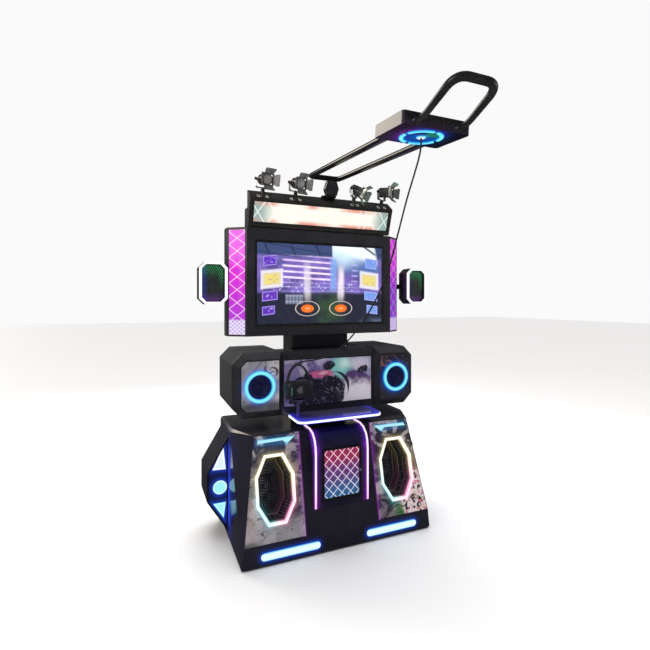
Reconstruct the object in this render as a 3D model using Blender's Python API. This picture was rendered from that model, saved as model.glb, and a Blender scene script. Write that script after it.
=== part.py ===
"""Music light cabinet: a stand-up arcade machine with an overhead boom.

Metres, +Z up, and the player stands on the -Y side.  Every shape is written in cabinet
coordinates: X to the player's right, Y to the back and Z up, measured from the middle of
the kick plate's bottom edge.  The empty "cabinet" carries them all and moves them back,
so that the world origin is the bottom centre of the whole machine's box.
"""

import math

import bmesh
import bpy
from mathutils import Matrix, Vector

# ---------------------------------------------------------------- driving dimensions
GAP = 0.0005                # air left between two pieces that touch

BASE_HALF_WIDTH = 0.630
BASE_DEPTH = 0.665
BASE_BOTTOM = 0.0105        # the feet hold the carcass this far off the floor
BASE_TOP = 0.710
KICK_TOP = 0.120            # below this the front is upright, above it it leans back
FRONT_TOP_Y = 0.132         # how far the leaning front has gone back at the top
FRONT_TOP_HALF_WIDTH = 0.533
CORNER_BACK_Y = 0.330       # back end of the front-corner facet at the base's top
WALL = 0.018

PANEL_INNER_X = 0.243       # inner edge of the art panels beside the centre column
PANEL_THICKNESS = 0.006
WINDOW_X = 0.413            # middle of each eight-sided light window
WINDOW_DEPTH = 0.120
KICK_LIGHT_X = (0.179, 0.497)   # centres of the kick light's round ends
KICK_LIGHT_Z = 0.060
KICK_LIGHT_RADIUS = 0.022

COLUMN_HALF_WIDTH = 0.185
COLUMN_PROFILE = ((0.028, 0.255), (0.028, 0.585), (0.034, 0.630), (0.050, 0.667),
                  (0.082, 0.697), (0.128, 0.7105))
DOOR_HALF_WIDTH = 0.1305
DOOR_Z = (0.2905, 0.6095)

CONSOLE_Y = 0.223           # front plane of the console's middle
CONSOLE_Z = (0.790, 1.190)
SPEAKER_X = (0.330, 0.640)
SPEAKER_FRONT_Y = 0.178
SPEAKER_BACK_Y = 0.645
RING_CENTRE = (0.478, 0.986)
RING_RADII = (0.098, 0.073)

SHELF_HALF_WIDTH = 0.280
SHELF_Y = (0.024, 0.2225)
SHELF_Z = (0.772, 0.797)
HEADSET_X = -0.255
HEADSET_Y = 0.118

SPINE_HALF_WIDTH = 0.205
MONITOR_Z = (1.280, 1.975)
MONITOR_FRONT = (0.522, 0.325)   # fold between the monitor's front and its wing: x, y
MONITOR_WING = (0.637, 0.405)    # outer edge of the wing: x, y
MONITOR_SIDE_BACK_Y = 0.485
MONITOR_BACK = (0.500, 0.580)
SCREEN_HALF_WIDTH = 0.465
SCREEN_Z = (1.350, 1.890)

SIDE_LAMP_X = 0.736
SIDE_LAMP_Z = 1.615
SIDE_LAMP_PIVOT_Y = 0.470

MARQUEE_HALF_WIDTH = 0.516
MARQUEE_FOOT = (0.3245, 1.981)   # bottom edge of the marquee's front: y, z
MARQUEE_BROW = (0.272, 2.155)    # top edge of the marquee's front
MARQUEE_RIDGE = (0.341, 2.211)   # back edge of the sloped roof

LAMP_X = (-0.432, -0.212, 0.212, 0.432)
LAMP_PAN = (12, 12, 45, 30)      # degrees that each lamp is turned to the player's right
LAMP_DIP = (12, 15, 28, 8)       # degrees that each lamp looks down
LAMP_Y = 0.285
LAMP_BOSS_Z = 2.2125
LAMP_PIVOT_Z = 2.272
LAMP_FRONT = -0.078              # front of the lamp's square frame, from the tilt axis

POST_X = 0.052                   # the boom's one post stands right of the middle
POST_Y = (0.285, 0.335)
BOOM_PIVOT = (0.305, 2.335)      # cross bar of the boom: y, z
BOOM_DROP = 0.078                # radians that the boom falls towards the player
BOOM_HALF_WIDTH = 0.103
BOOM_TUBE_RADIUS = 0.0175
WINDER_Y = (-1.199, -0.970)      # the overhead box, measured along the boom
WINDER_Z = (-0.0205, 0.036)
WINDER_HALF_WIDTH = 0.172
WINDER_EDGE = 0.009              # bevel on the overhead box's upright edges
SOCKET_RADIUS = 0.0085

HANDLE_FEET = (0.108, -0.001)    # half spacing and height, measured on the boom
HANDLE_GRIP = (0.101, -1.425, 0.098)
HANDLE_REACH = 1.1404            # front of the handle, the machine's foremost point
CORD_RADIUS = 0.004

LEAN = math.atan2(FRONT_TOP_Y, BASE_TOP - KICK_TOP)
FRONT_SLOPE = math.hypot(FRONT_TOP_Y, BASE_TOP - KICK_TOP)
MARQUEE_LEAN = math.atan2(MARQUEE_FOOT[0] - MARQUEE_BROW[0], MARQUEE_BROW[1] - MARQUEE_FOOT[1])
WING_TURN = math.atan2(MONITOR_WING[1] - MONITOR_FRONT[1], MONITOR_WING[0] - MONITOR_FRONT[0])
WING_LENGTH = math.hypot(MONITOR_WING[1] - MONITOR_FRONT[1], MONITOR_WING[0] - MONITOR_FRONT[0])
SIDES = (("left", -1), ("right", 1))

# Half of the light window's outline: x from its middle, height along the leaning front.
WINDOW_HALF = ((0.060, 0.488), (0.121, 0.366), (0.120, 0.209), (0.055, 0.096))

# The tether's route in cabinet coordinates, from inside the overhead box to the headset.
CORD_ROUTE = ((0.000, -0.7752, 2.2360), (0.000, -0.7752, 2.2050), (-0.004, -0.768, 2.150),
              (-0.012, -0.738, 2.070), (-0.021, -0.700, 1.980), (-0.029, -0.668, 1.890),
              (-0.038, -0.634, 1.790), (-0.049, -0.590, 1.670), (-0.063, -0.533, 1.560),
              (-0.080, -0.462, 1.461), (-0.100, -0.378, 1.368), (-0.123, -0.285, 1.287),
              (-0.148, -0.185, 1.222), (-0.175, -0.078, 1.178), (-0.204, 0.012, 1.154),
              (-0.230, 0.072, 1.142), (-0.255, 0.118, 1.1265))


# ---------------------------------------------------------------- scene and materials
def clear_scene():
    for obj in list(bpy.data.objects):
        bpy.data.objects.remove(obj, do_unlink=True)


def material(name, colour, roughness, metallic=0.0, glow=0.0):
    made = bpy.data.materials.new(name)
    made.use_nodes = True
    shader = made.node_tree.nodes["Principled BSDF"]
    shader.inputs["Base Color"].default_value = (*colour, 1.0)
    shader.inputs["Roughness"].default_value = roughness
    shader.inputs["Metallic"].default_value = metallic
    if glow:
        shader.inputs["Emission Color"].default_value = (*colour, 1.0)
        shader.inputs["Emission Strength"].default_value = glow
    return made


clear_scene()

GLOSS_BLACK = material("gloss_black", (0.020, 0.020, 0.026), 0.22)
GLOSS_SHELL = material("gloss_shell", (0.022, 0.022, 0.027), 0.18)
SATIN_BLACK = material("satin_black", (0.030, 0.030, 0.034), 0.45)
TUBE_BLACK = material("tube_black", (0.018, 0.018, 0.020), 0.25, 0.3)
PRINTED = material("printed_panel", (0.52, 0.50, 0.54), 0.18, 0.5)
SILVER = material("silver_panel", (0.62, 0.61, 0.66), 0.20, 0.8)
DARK_GLASS = material("dark_glass", (0.010, 0.014, 0.020), 0.06)
WHITE_LIGHT = material("white_light", (0.90, 0.96, 1.00), 0.40, 0.0, 4.0)
CYAN_LIGHT = material("cyan_light", (0.35, 0.92, 1.00), 0.40, 0.0, 4.0)
MAGENTA_LIGHT = material("magenta_light", (0.90, 0.10, 0.90), 0.40, 0.0, 2.0)
SCREEN = material("screen", (0.16, 0.09, 0.50), 0.15, 0.0, 1.0)
GRILLE = material("grille", (0.010, 0.010, 0.050), 0.60)
GUNMETAL = material("gunmetal", (0.16, 0.15, 0.16), 0.38, 0.8)
STEEL = material("steel", (0.55, 0.55, 0.56), 0.35, 1.0)
RUBBER = material("rubber", (0.020, 0.020, 0.020), 0.85)
HEADSET_PLASTIC = material("headset_plastic", (0.022, 0.024, 0.030), 0.42)

CABINET = bpy.data.objects.new("cabinet", None)
CABINET.location = (0.0, (HANDLE_REACH - BASE_DEPTH) / 2, 0.0)
bpy.context.collection.objects.link(CABINET)


def frame(name, location, rotation=(0.0, 0.0, 0.0), parent=CABINET):
    """An empty that carries a group of pieces."""
    empty = bpy.data.objects.new(name, None)
    empty.parent = parent
    empty.location = location
    empty.rotation_euler = rotation
    bpy.context.collection.objects.link(empty)
    return empty


def place(name, data, finish, parent=CABINET, location=(0.0, 0.0, 0.0), rotation=(0.0, 0.0, 0.0)):
    """Put a mesh or a curve in the scene as one named sub-part."""
    data.name = name
    data.materials.clear()
    data.materials.append(finish)
    obj = bpy.data.objects.new(name, data)
    obj.parent = parent
    obj.location = location
    obj.rotation_euler = rotation
    bpy.context.collection.objects.link(obj)
    return obj


# ---------------------------------------------------------------- shapes
def loft(loops):
    """A closed mesh through loops that have the same number of points."""
    made = bmesh.new()
    rings = [[made.verts.new(point) for point in loop] for loop in loops]
    count = len(loops[0])
    for lower, upper in zip(rings, rings[1:]):
        for i in range(count):
            j = (i + 1) % count
            made.faces.new((lower[i], lower[j], upper[j], upper[i]))
    made.faces.new(list(reversed(rings[0])))
    made.faces.new(rings[-1])
    bmesh.ops.recalc_face_normals(made, faces=made.faces)
    mesh = bpy.data.meshes.new("shape")
    made.to_mesh(mesh)
    made.free()
    return mesh


def plate(outline, y0, y1):
    """An outline of x, z points made thick along Y."""
    return loft([[(x, y, z) for x, z in outline] for y in (y0, y1)])


def profile(outline, x0, x1):
    """An outline of y, z points made long along X."""
    return loft([[(x, y, z) for y, z in outline] for x in (x0, x1)])


def slab(outline, z0, z1):
    """An outline of x, y points made thick along Z."""
    return loft([[(x, y, z) for x, y in outline] for z in (z0, z1)])


def block(x, y, z):
    """A box from three low and high pairs."""
    return slab([(x[0], y[0]), (x[1], y[0]), (x[1], y[1]), (x[0], y[1])], *z)


def circle(radius, segments, centre=(0.0, 0.0)):
    turns = [2 * math.pi * i / segments for i in range(segments)]
    return [(centre[0] + radius * math.cos(t), centre[1] + radius * math.sin(t)) for t in turns]


def combine(base, others, operation):
    """The union or the difference of closed meshes, as a new mesh."""
    body = bpy.data.objects.new("body", base)
    bpy.context.collection.objects.link(body)
    tools = []
    for other in others:
        tool = bpy.data.objects.new("tool", other)
        bpy.context.collection.objects.link(tool)
        step = body.modifiers.new("step", "BOOLEAN")
        step.operation = operation
        step.solver = "EXACT"
        step.object = tool
        tools.append(tool)
    view = bpy.context.evaluated_depsgraph_get()
    mesh = bpy.data.meshes.new_from_object(body.evaluated_get(view))
    for obj in [body, *tools]:
        bpy.data.objects.remove(obj, do_unlink=True)
    return mesh


def cut(base, *tools):
    return combine(base, tools, "DIFFERENCE")


def fuse(base, *others):
    return combine(base, others, "UNION")


def moved(mesh, location=(0.0, 0.0, 0.0), tilt=0.0, turn=0.0):
    """Tilt a mesh about X, turn it about Z and move it."""
    work = bmesh.new()
    work.from_mesh(mesh)
    bmesh.ops.rotate(work, verts=work.verts, matrix=rotation_matrix(tilt, "X"))
    bmesh.ops.rotate(work, verts=work.verts, matrix=rotation_matrix(turn, "Z"))
    bmesh.ops.translate(work, verts=work.verts, vec=location)
    work.to_mesh(mesh)
    work.free()
    return mesh


def rotation_matrix(angle, axis):
    return Matrix.Rotation(angle, 3, axis)


def smooth(mesh, sharp_degrees=40):
    mesh.shade_smooth()
    mesh.set_sharp_from_angle(angle=math.radians(sharp_degrees))
    return mesh


def rounded_path(corners, radius, steps=4):
    """A path through corners, each inner one swapped for a curve of about that radius."""
    points = [Vector(corners[0])]
    for before, corner, after in zip(corners, corners[1:], corners[2:]):
        corner = Vector(corner)
        start = corner + (Vector(before) - corner).normalized() * radius
        end = corner + (Vector(after) - corner).normalized() * radius
        for i in range(steps + 1):
            t = i / steps
            points.append(start * (1 - t) ** 2 + corner * 2 * t * (1 - t) + end * t ** 2)
    points.append(Vector(corners[-1]))
    return points


def tube(points, radius, resolution=2, scale=None):
    """A round bar along the points; scale gives the thickness at each one."""
    curve = bpy.data.curves.new("shape", "CURVE")
    curve.dimensions = "3D"
    curve.bevel_depth = radius
    curve.bevel_resolution = resolution
    curve.use_fill_caps = True
    spline = curve.splines.new("POLY")
    spline.points.add(len(points) - 1)
    for i, (place_in, point) in enumerate(zip(spline.points, points)):
        place_in.co = (*point, 1.0)
        place_in.radius = scale[i] if scale else 1.0
    return curve


def smooth_route(route, spacing):
    """Evenly spaced points on a Catmull-Rom curve through the route's own points."""
    knots = [Vector(p) for p in route]
    knots = [2 * knots[0] - knots[1], *knots, 2 * knots[-1] - knots[-2]]
    fine = []
    for a, b, c, d in zip(knots, knots[1:], knots[2:], knots[3:]):
        for i in range(20):
            t = i / 20
            fine.append(0.5 * (2 * b + (c - a) * t + (2 * a - 5 * b + 4 * c - d) * t ** 2
                               + (3 * b - a - 3 * c + d) * t ** 3))
    fine.append(knots[-2])
    points = [fine[0]]
    for point in fine[1:-1]:
        if (point - points[-1]).length >= spacing:
            points.append(point)
    points.append(fine[-1])
    return points


def lean_y(z):
    """Y of the base's front at height z."""
    return FRONT_TOP_Y * max(z - KICK_TOP, 0.0) / (BASE_TOP - KICK_TOP)


SLOPE = frame("leaning_front", (0.0, 0.0, KICK_TOP), (-LEAN, 0.0, 0.0))


# ---------------------------------------------------------------- base
def window_outline(side, grow=0.0):
    """The eight-sided light window on one side, grown by a margin."""
    half = [(x + grow, s + grow * (1 if s > 0.29 else -1)) for x, s in WINDOW_HALF]
    outline = [(WINDOW_X + x, s) for x, s in half] + [(WINDOW_X - x, s) for x, s in reversed(half)]
    return [(side * x, s) for x, s in outline]


def art_panel_outline(side, grow=0.0):
    """The printed panel beside the centre column, drawn on the leaning front."""
    bottom, top = 0.003 - grow, FRONT_SLOPE - 0.005 + grow
    return [(side * (PANEL_INNER_X - grow), bottom), (side * (0.612 + grow), bottom),
            (side * (0.529 + grow), top), (side * (PANEL_INNER_X - grow), top)]


def base_plan(z, side_inset=0.0):
    """The carcass's outline at height z, with the tapered facet on its front corners."""
    rise = max(z - 0.03, 0.0) / (BASE_TOP - 0.03)
    front_x = BASE_HALF_WIDTH - 0.001 - (BASE_HALF_WIDTH - 0.001 - FRONT_TOP_HALF_WIDTH) * rise
    side_x = BASE_HALF_WIDTH - side_inset
    corner_y = max(CORNER_BACK_Y * rise, 0.004)
    back_y = BASE_DEPTH - side_inset
    right = [(front_x, lean_y(z)), (side_x, corner_y), (side_x, back_y)]
    return [(x, y, z) for x, y in right] + [(-x, y, z) for x, y in reversed(right)]


def make_base():
    body = loft([base_plan(BASE_BOTTOM), base_plan(KICK_TOP), base_plan(BASE_TOP - WALL),
                 base_plan(BASE_TOP, 0.012)])
    inside_front = [(0.030, 0.035), (0.640, 0.035), (0.640, 0.675), (0.170, 0.675)]
    tools = [profile(inside_front, -0.500, 0.500),
             block((-0.605, 0.605), (0.360, 0.6405), (0.0355, 0.6745)),
             block((-0.455, 0.455), (0.600, 0.700), (0.060, 0.660)),
             block((-0.120, 0.120), (-0.050, 0.250), (0.300, 0.600))]
    for _, side in SIDES:
        pocket = plate(art_panel_outline(side, 0.001), -0.020, PANEL_THICKNESS + GAP)
        low_x, high_x = sorted((side * (WINDOW_X - 0.128), side * (WINDOW_X + 0.128)))
        hole = block((low_x, high_x), (-0.020, 0.200), (0.088, 0.496))
        tools += [moved(tool, (0.0, 0.0, KICK_TOP), tilt=-LEAN) for tool in (pocket, hole)]
    place("base_carcass", cut(body, *tools), GLOSS_BLACK)


def make_light_windows():
    for word, side in SIDES:
        panel = cut(plate(art_panel_outline(side), 0.0, PANEL_THICKNESS),
                    plate(window_outline(side, GAP), -0.1, 0.1))
        place(word + "_art_panel", panel, PRINTED, SLOPE)
        window = plate(window_outline(side), -0.004, WINDOW_DEPTH)
        place(word + "_light_window", window, DARK_GLASS, SLOPE)
        arrow = [(0.511, 0.556), (0.505, 0.575), (0.276, 0.578), (0.330, 0.535), (0.352, 0.560)]
        arrow = [(side * x, s) for x, s in arrow]
        place(word + "_arrow_light", plate(arrow, -0.004, -GAP), CYAN_LIGHT, SLOPE)
        bar = []
        for x, start in ((KICK_LIGHT_X[0], math.pi / 2), (KICK_LIGHT_X[1], -math.pi / 2)):
            for i in range(7):
                turn = start + math.pi * i / 6
                bar.append((side * (x + KICK_LIGHT_RADIUS * math.cos(turn)),
                            KICK_LIGHT_Z + KICK_LIGHT_RADIUS * math.sin(turn)))
        place(word + "_kick_light", plate(bar, -0.004, -GAP), WHITE_LIGHT)


def make_column():
    back = [(lean_y(z) - GAP, z) for z in (BASE_TOP - 0.001, COLUMN_PROFILE[0][1])]
    shell = profile([*COLUMN_PROFILE, *back], -COLUMN_HALF_WIDTH, COLUMN_HALF_WIDTH)
    opening = block((-DOOR_HALF_WIDTH - 0.002, DOOR_HALF_WIDTH + 0.002), (-0.1, 0.3),
                    (DOOR_Z[0] - 0.001, DOOR_Z[1] + 0.001))
    place("center_column", cut(shell, opening), GLOSS_BLACK)

    hinge = frame("service_door_hinge", (-DOOR_HALF_WIDTH - 0.0015, COLUMN_PROFILE[0][0], 0.0))
    door = block((0.0015, 2 * DOOR_HALF_WIDTH + 0.0015), (GAP, 0.0095), DOOR_Z)
    place("service_door", door, SATIN_BLACK, hinge)

    line = [Vector(p) for p in COLUMN_PROFILE] + [Vector((0.218, 0.7105))]
    line[0] = Vector((line[0].x, 0.262))
    inner, outer = [], []
    for i, point in enumerate(line):
        along = (line[min(i + 1, len(line) - 1)] - line[max(i - 1, 0)]).normalized()
        outward = Vector((-along.y, along.x))
        inner.append(point + outward * 0.001)
        outer.append(point + outward * 0.006)
    band = [tuple(p) for p in inner + outer[::-1]]
    for word, side in SIDES:
        low_x, high_x = sorted((side * 0.1705, side * 0.1815))
        place(word + "_neon_strip", profile(band, low_x, high_x), WHITE_LIGHT)


def make_side_pods():
    for word, side in SIDES:
        inner_x = BASE_HALF_WIDTH + GAP
        outline = [(inner_x, 0.650), (0.762, 0.430), (0.762, 0.250), (inner_x, 0.046)]
        face = [(inner_x + 0.008, 0.614), (0.752, 0.426), (0.752, 0.254), (inner_x + 0.008, 0.082)]
        outline, face, lens = [[(side * x, z) for x, z in points] for points in
                               (outline, face, shrunk(face, 0.994))]
        shell = cut(plate(outline, 0.380, 0.650), plate(face, 0.370, 0.400))
        place(word + "_side_pod", shell, GLOSS_BLACK)
        place(word + "_pod_window", plate(lens, 0.388, 0.3995), CYAN_LIGHT)


def shrunk(outline, factor):
    """An outline scaled about its own middle."""
    middle_x = sum(x for x, _ in outline) / len(outline)
    middle_z = sum(z for _, z in outline) / len(outline)
    return [(middle_x + (x - middle_x) * factor, middle_z + (z - middle_z) * factor)
            for x, z in outline]


def make_rear_door_and_inside():
    hinge = frame("rear_door_hinge", (-0.452, BASE_DEPTH - GAP, 0.0))
    place("rear_door", block((0.0, 0.904), (-WALL, 0.0), (0.063, 0.657)), SATIN_BLACK, hinge)
    place("computer", block((0.02, 0.38), (0.30, 0.55), (0.0355, 0.235)), GUNMETAL)
    for name, x, y in (("front_left_foot", -0.54, 0.07), ("front_right_foot", 0.54, 0.07),
                       ("rear_left_foot", -0.54, 0.60), ("rear_right_foot", 0.54, 0.60)):
        pad = loft([[(*p, z) for p in circle(r, 16, (x, y))]
                    for r, z in ((0.030, 0.0), (0.030, 0.006), (0.016, BASE_BOTTOM - GAP))])
        place(name, smooth(pad), RUBBER)


# ---------------------------------------------------------------- console and shelf
def speaker_outline(side, margin):
    """The six-sided front of a speaker box, drawn in by a margin."""
    x0, x1 = SPEAKER_X
    z0, z1 = CONSOLE_Z
    corner = 0.066
    points = [(x0 + margin * 0.55, z0 + margin), (x1 - corner - margin * 0.3, z0 + margin),
              (x1 - margin, z0 + corner + margin * 0.3), (x1 - margin, z1 - corner - margin * 0.3),
              (x1 - corner - margin * 0.3, z1 - margin), (x0 + margin * 0.55, z1 - margin)]
    return [(side * x, z) for x, z in points]


def make_speakers():
    for word, side in SIDES:
        front, full = speaker_outline(side, 0.040), speaker_outline(side, 0.0)
        box = loft([[(x, SPEAKER_FRONT_Y, z) for x, z in front],
                    [(x, CONSOLE_Y, z) for x, z in full],
                    [(x, SPEAKER_BACK_Y, z) for x, z in full]])
        panel = speaker_outline(side, 0.050)
        pocket = plate(speaker_outline(side, 0.0492), 0.1, SPEAKER_FRONT_Y + 0.004)
        inside = plate(speaker_outline(side, 0.065), 0.1, SPEAKER_BACK_Y - WALL)
        place(word + "_speaker_box", cut(box, pocket, inside), GLOSS_BLACK)

        centre = (side * RING_CENTRE[0], RING_CENTRE[1])
        hole = plate(circle(RING_RADII[1], 32, centre), 0.0, 0.4)
        face = cut(plate(panel, SPEAKER_FRONT_Y, SPEAKER_FRONT_Y + 0.0035), hole)
        place(word + "_speaker_panel", face, SILVER)

        ring = cut(plate(circle(RING_RADII[0], 32, centre), SPEAKER_FRONT_Y - 0.010,
                         SPEAKER_FRONT_Y - GAP),
                   plate(circle(RING_RADII[1], 32, centre), 0.0, 0.4))
        place(word + "_speaker_ring", smooth(ring), CYAN_LIGHT)

        driver = loft([[(x, y, z) for x, z in circle(r, 24, centre)]
                       for r, y in ((0.071, 0.1745), (0.071, 0.186), (0.060, 0.215),
                                    (0.045, 0.225), (0.045, 0.250))])
        place(word + "_speaker", smooth(driver), GRILLE)


def make_console():
    middle = SPEAKER_X[0] - GAP
    place("console_center", block((-middle, middle), (CONSOLE_Y, 0.4045), (CONSOLE_Z[0], 1.185)),
          GLOSS_BLACK)
    spine = [(0.405, BASE_TOP + GAP), (0.570, BASE_TOP + GAP), (0.570, MONITOR_Z[0] - GAP),
             (0.369, MONITOR_Z[0] - GAP), (0.369, 1.1905), (0.405, 1.1905)]
    place("spine", profile(spine, -SPINE_HALF_WIDTH, SPINE_HALF_WIDTH), GLOSS_BLACK)


def shelf_path(margin):
    """The shelf's edge from its back left corner, round the front, to its back right."""
    x, front, back = SHELF_HALF_WIDTH + margin, SHELF_Y[0] - margin, SHELF_Y[1]
    radius = 0.045
    path = [(-x, back)]
    for centre_x, start in ((-x + radius, math.pi), (x - radius, 1.5 * math.pi)):
        for i in range(7):
            turn = start + math.pi / 2 * i / 6
            path.append((centre_x + radius * math.cos(turn), front + radius + radius * math.sin(turn)))
    path.append((x, back))
    return path


def make_shelf():
    board = slab(shelf_path(0.0), *SHELF_Z)
    post = slab(circle(0.011, 12, (HEADSET_X, HEADSET_Y)), SHELF_Z[1] - 0.004, 0.905)
    cradle = block((HEADSET_X - 0.040, HEADSET_X + 0.040), (HEADSET_Y - 0.030, HEADSET_Y + 0.030),
                   (0.900, 0.908))
    place("shelf", fuse(board, post, cradle), GLOSS_BLACK)
    strip = shelf_path(0.0055) + shelf_path(GAP)[::-1]
    place("shelf_light", slab([(x, min(y, SHELF_Y[1] - 0.012)) for x, y in strip], 0.778, 0.791),
          WHITE_LIGHT)


def make_headset():
    """A wired viewer that rests on the shelf's cradle, with its strap standing up."""
    x, y = HEADSET_X, HEADSET_Y
    visor = [rounded_box_loop(x, y - 0.052, 0.064, 0.038, 0.967),
             rounded_box_loop(x, y - 0.040, 0.080, 0.050, 0.967),
             rounded_box_loop(x, y + 0.020, 0.084, 0.054, 0.967),
             rounded_box_loop(x, y + 0.045, 0.070, 0.046, 0.967)]
    strap = loft([[(px, py, pz) for px, pz in arch_band(x, 0.985)] for py in (y - 0.012, y + 0.016)])
    place("headset", fuse(loft(visor), strap), HEADSET_PLASTIC)


def rounded_box_loop(x, y, half_width, half_height, z):
    """An eight-sided loop in the XZ plane."""
    corner = 0.022
    points = [(half_width - corner, half_height), (half_width, half_height - corner),
              (half_width, corner - half_height), (half_width - corner, -half_height)]
    points += [(-px, pz) for px, pz in reversed(points)]
    return [(x + px, y, z + pz) for px, pz in points]


def arch_band(x, z):
    """The strap's arch from one side of the visor over the top to the other."""
    turns = [math.pi * i / 10 for i in range(11)]
    outer = [(x + 0.076 * math.cos(t), z + 0.137 * math.sin(t)) for t in turns]
    inner = [(x + 0.064 * math.cos(t), z + 0.125 * math.sin(t)) for t in reversed(turns)]
    return outer + inner


# ---------------------------------------------------------------- monitor and marquee
def make_monitor():
    right = [MONITOR_FRONT, MONITOR_WING, (MONITOR_WING[0], MONITOR_SIDE_BACK_Y), MONITOR_BACK]
    plan = right + [(-x, y) for x, y in reversed(right)]
    low, high = SCREEN_Z
    opening = block((-SCREEN_HALF_WIDTH - 0.001, SCREEN_HALF_WIDTH + 0.001), (0.2, 0.400),
                    (low - 0.001, high + 0.001))
    inside = block((-0.440, 0.440), (0.2, 0.560), (low + 0.020, high - 0.020))
    place("monitor_cabinet", cut(slab(plan, *MONITOR_Z), opening, inside), GLOSS_BLACK)
    panel = block((-SCREEN_HALF_WIDTH, SCREEN_HALF_WIDTH), (0.330, 0.3995), (low, high))
    place("display", panel, SCREEN)

    for word, side in SIDES:
        wing = frame(word + "_wing", (side * MONITOR_FRONT[0], MONITOR_FRONT[1], 0.0),
                     (0.0, 0.0, side * WING_TURN))
        low_x, high_x = sorted((side * WING_LENGTH * 0.10, side * WING_LENGTH * 0.87))
        strip = block((low_x, high_x), (-0.004, -GAP), (MONITOR_Z[0] + 0.010, MONITOR_Z[1] - 0.015))
        place(word + "_wing_light", strip, MAGENTA_LIGHT, wing)


def side_lamp_outline(scale):
    """The lamp's eight-sided outline about its own middle."""
    x, z, corner = 0.085 * scale, 0.130 * scale, 0.036 * scale
    right = [(x - corner, z), (x, z - corner), (x, corner - z), (x - corner, -z)]
    return right + [(-px, pz) for px, pz in reversed(right)]


def make_side_lamps():
    pivot_y = SIDE_LAMP_PIVOT_Y
    for word, side in SIDES:
        pivot = frame(word + "_side_lamp_pivot", (side * SIDE_LAMP_X, pivot_y, SIDE_LAMP_Z))
        shell = loft([[(x, y - pivot_y, z) for x, z in side_lamp_outline(scale)]
                      for scale, y in ((1.0, 0.283), (1.0, 0.400), (0.72, 0.425))])
        lugs = [block((-0.009, 0.009), (0.420 - pivot_y, 0.009), pair)
                for pair in ((0.0185, 0.0265), (-0.0265, -0.0185))]
        place(word + "_side_lamp", fuse(shell, *lugs), GLOSS_SHELL, pivot)

        root, barrel = MONITOR_WING[0] + GAP, SIDE_LAMP_X
        low_x, high_x = sorted((side * root, side * barrel))
        bar = block((low_x, high_x), (pivot_y - 0.008, pivot_y + 0.008),
                    (SIDE_LAMP_Z - 0.018, SIDE_LAMP_Z + 0.018))
        eye = slab(circle(0.011, 16, (side * SIDE_LAMP_X, pivot_y)),
                   SIDE_LAMP_Z - 0.0181, SIDE_LAMP_Z + 0.0181)
        place(word + "_lamp_arm", fuse(bar, eye), TUBE_BLACK)


def make_marquee():
    foot, brow, ridge = MARQUEE_FOOT, MARQUEE_BROW, MARQUEE_RIDGE
    half = MARQUEE_HALF_WIDTH
    hood = profile([foot, brow, ridge, (0.350, ridge[1]), (0.350, foot[1])], -half, half)
    rear = block((-half + 0.018, half - 0.018), (0.345, 0.500), (foot[1] + 0.001, 2.120))
    bosses = [slab(circle(0.013, 12, (x, LAMP_Y)), 2.150, LAMP_BOSS_Z) for x in LAMP_X]
    opening = moved(block((-0.4915, 0.4915), (-0.020, 0.080), (0.0245, 0.1625)),
                    (0.0, foot[0], foot[1]), tilt=MARQUEE_LEAN)
    inside = block((-0.480, 0.480), (0.330, 0.485), (2.010, 2.105))
    place("marquee_box", cut(fuse(hood, rear, *bosses), opening, inside), GLOSS_BLACK)
    front = frame("marquee_front", (0.0, foot[0], foot[1]), (MARQUEE_LEAN, 0.0, 0.0))
    place("marquee_panel", block((-0.4905, 0.4905), (0.002, 0.007), (0.0255, 0.1615)),
          WHITE_LIGHT, front)


# ---------------------------------------------------------------- stage lamps
def make_lamp_head():
    """A can with a square gel frame and four barn doors; it looks along -Y."""
    front = LAMP_FRONT
    can = loft([[(x, y, z) for x, z in circle(r, 20)]
                for r, y in ((0.034, front + 0.005), (0.034, 0.010), (0.024, 0.022))])
    axle = profile(circle(0.006, 10), -0.0425, 0.0425)
    gel_frame = block((-0.039, 0.039), (front, front + 0.007), (-0.039, 0.039))
    root, tip, thick = 0.0375, 0.0660, 0.0016
    leaves = []
    for turn in range(4):
        leaf = loft([[(-w, y - thick, z), (w, y - thick, z), (w, y + thick, z + thick),
                      (-w, y + thick, z + thick)]
                     for w, y, z in ((0.027, front + 0.002, root), (0.040, front - 0.0335, tip))])
        leaves.append(spun(leaf, turn * math.pi / 2))
    return smooth(fuse(can, axle, gel_frame, *leaves), 35)


def spun(mesh, angle):
    """Turn a mesh about Y."""
    work = bmesh.new()
    work.from_mesh(mesh)
    bmesh.ops.rotate(work, verts=work.verts, matrix=rotation_matrix(angle, "Y"))
    work.to_mesh(mesh)
    work.free()
    return mesh


def make_yoke():
    """The U bracket, measured from the tilt axis, with its stub on the pan axis."""
    foot = LAMP_BOSS_Z + GAP - LAMP_PIVOT_Z
    stub = slab(circle(0.009, 12), foot, -0.054)
    floor = block((-0.047, 0.047), (-0.009, 0.009), (-0.056, -0.052))
    arms = [block(pair, (-0.009, 0.009), (-0.0555, 0.010)) for pair in
            ((-0.047, -0.0435), (0.0435, 0.047))]
    return fuse(floor, stub, *arms)


def make_stage_lamps():
    head, yoke = make_lamp_head(), make_yoke()
    for i, (x, pan, dip) in enumerate(zip(LAMP_X, LAMP_PAN, LAMP_DIP), start=1):
        pivot = frame("stage_lamp_%d_pan" % i, (x, LAMP_Y, LAMP_PIVOT_Z),
                      (0.0, 0.0, math.radians(pan)))
        place("stage_lamp_%d_yoke" % i, yoke, STEEL, pivot)
        place("stage_lamp_%d" % i, head, GUNMETAL, pivot, rotation=(math.radians(dip), 0.0, 0.0))


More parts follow.
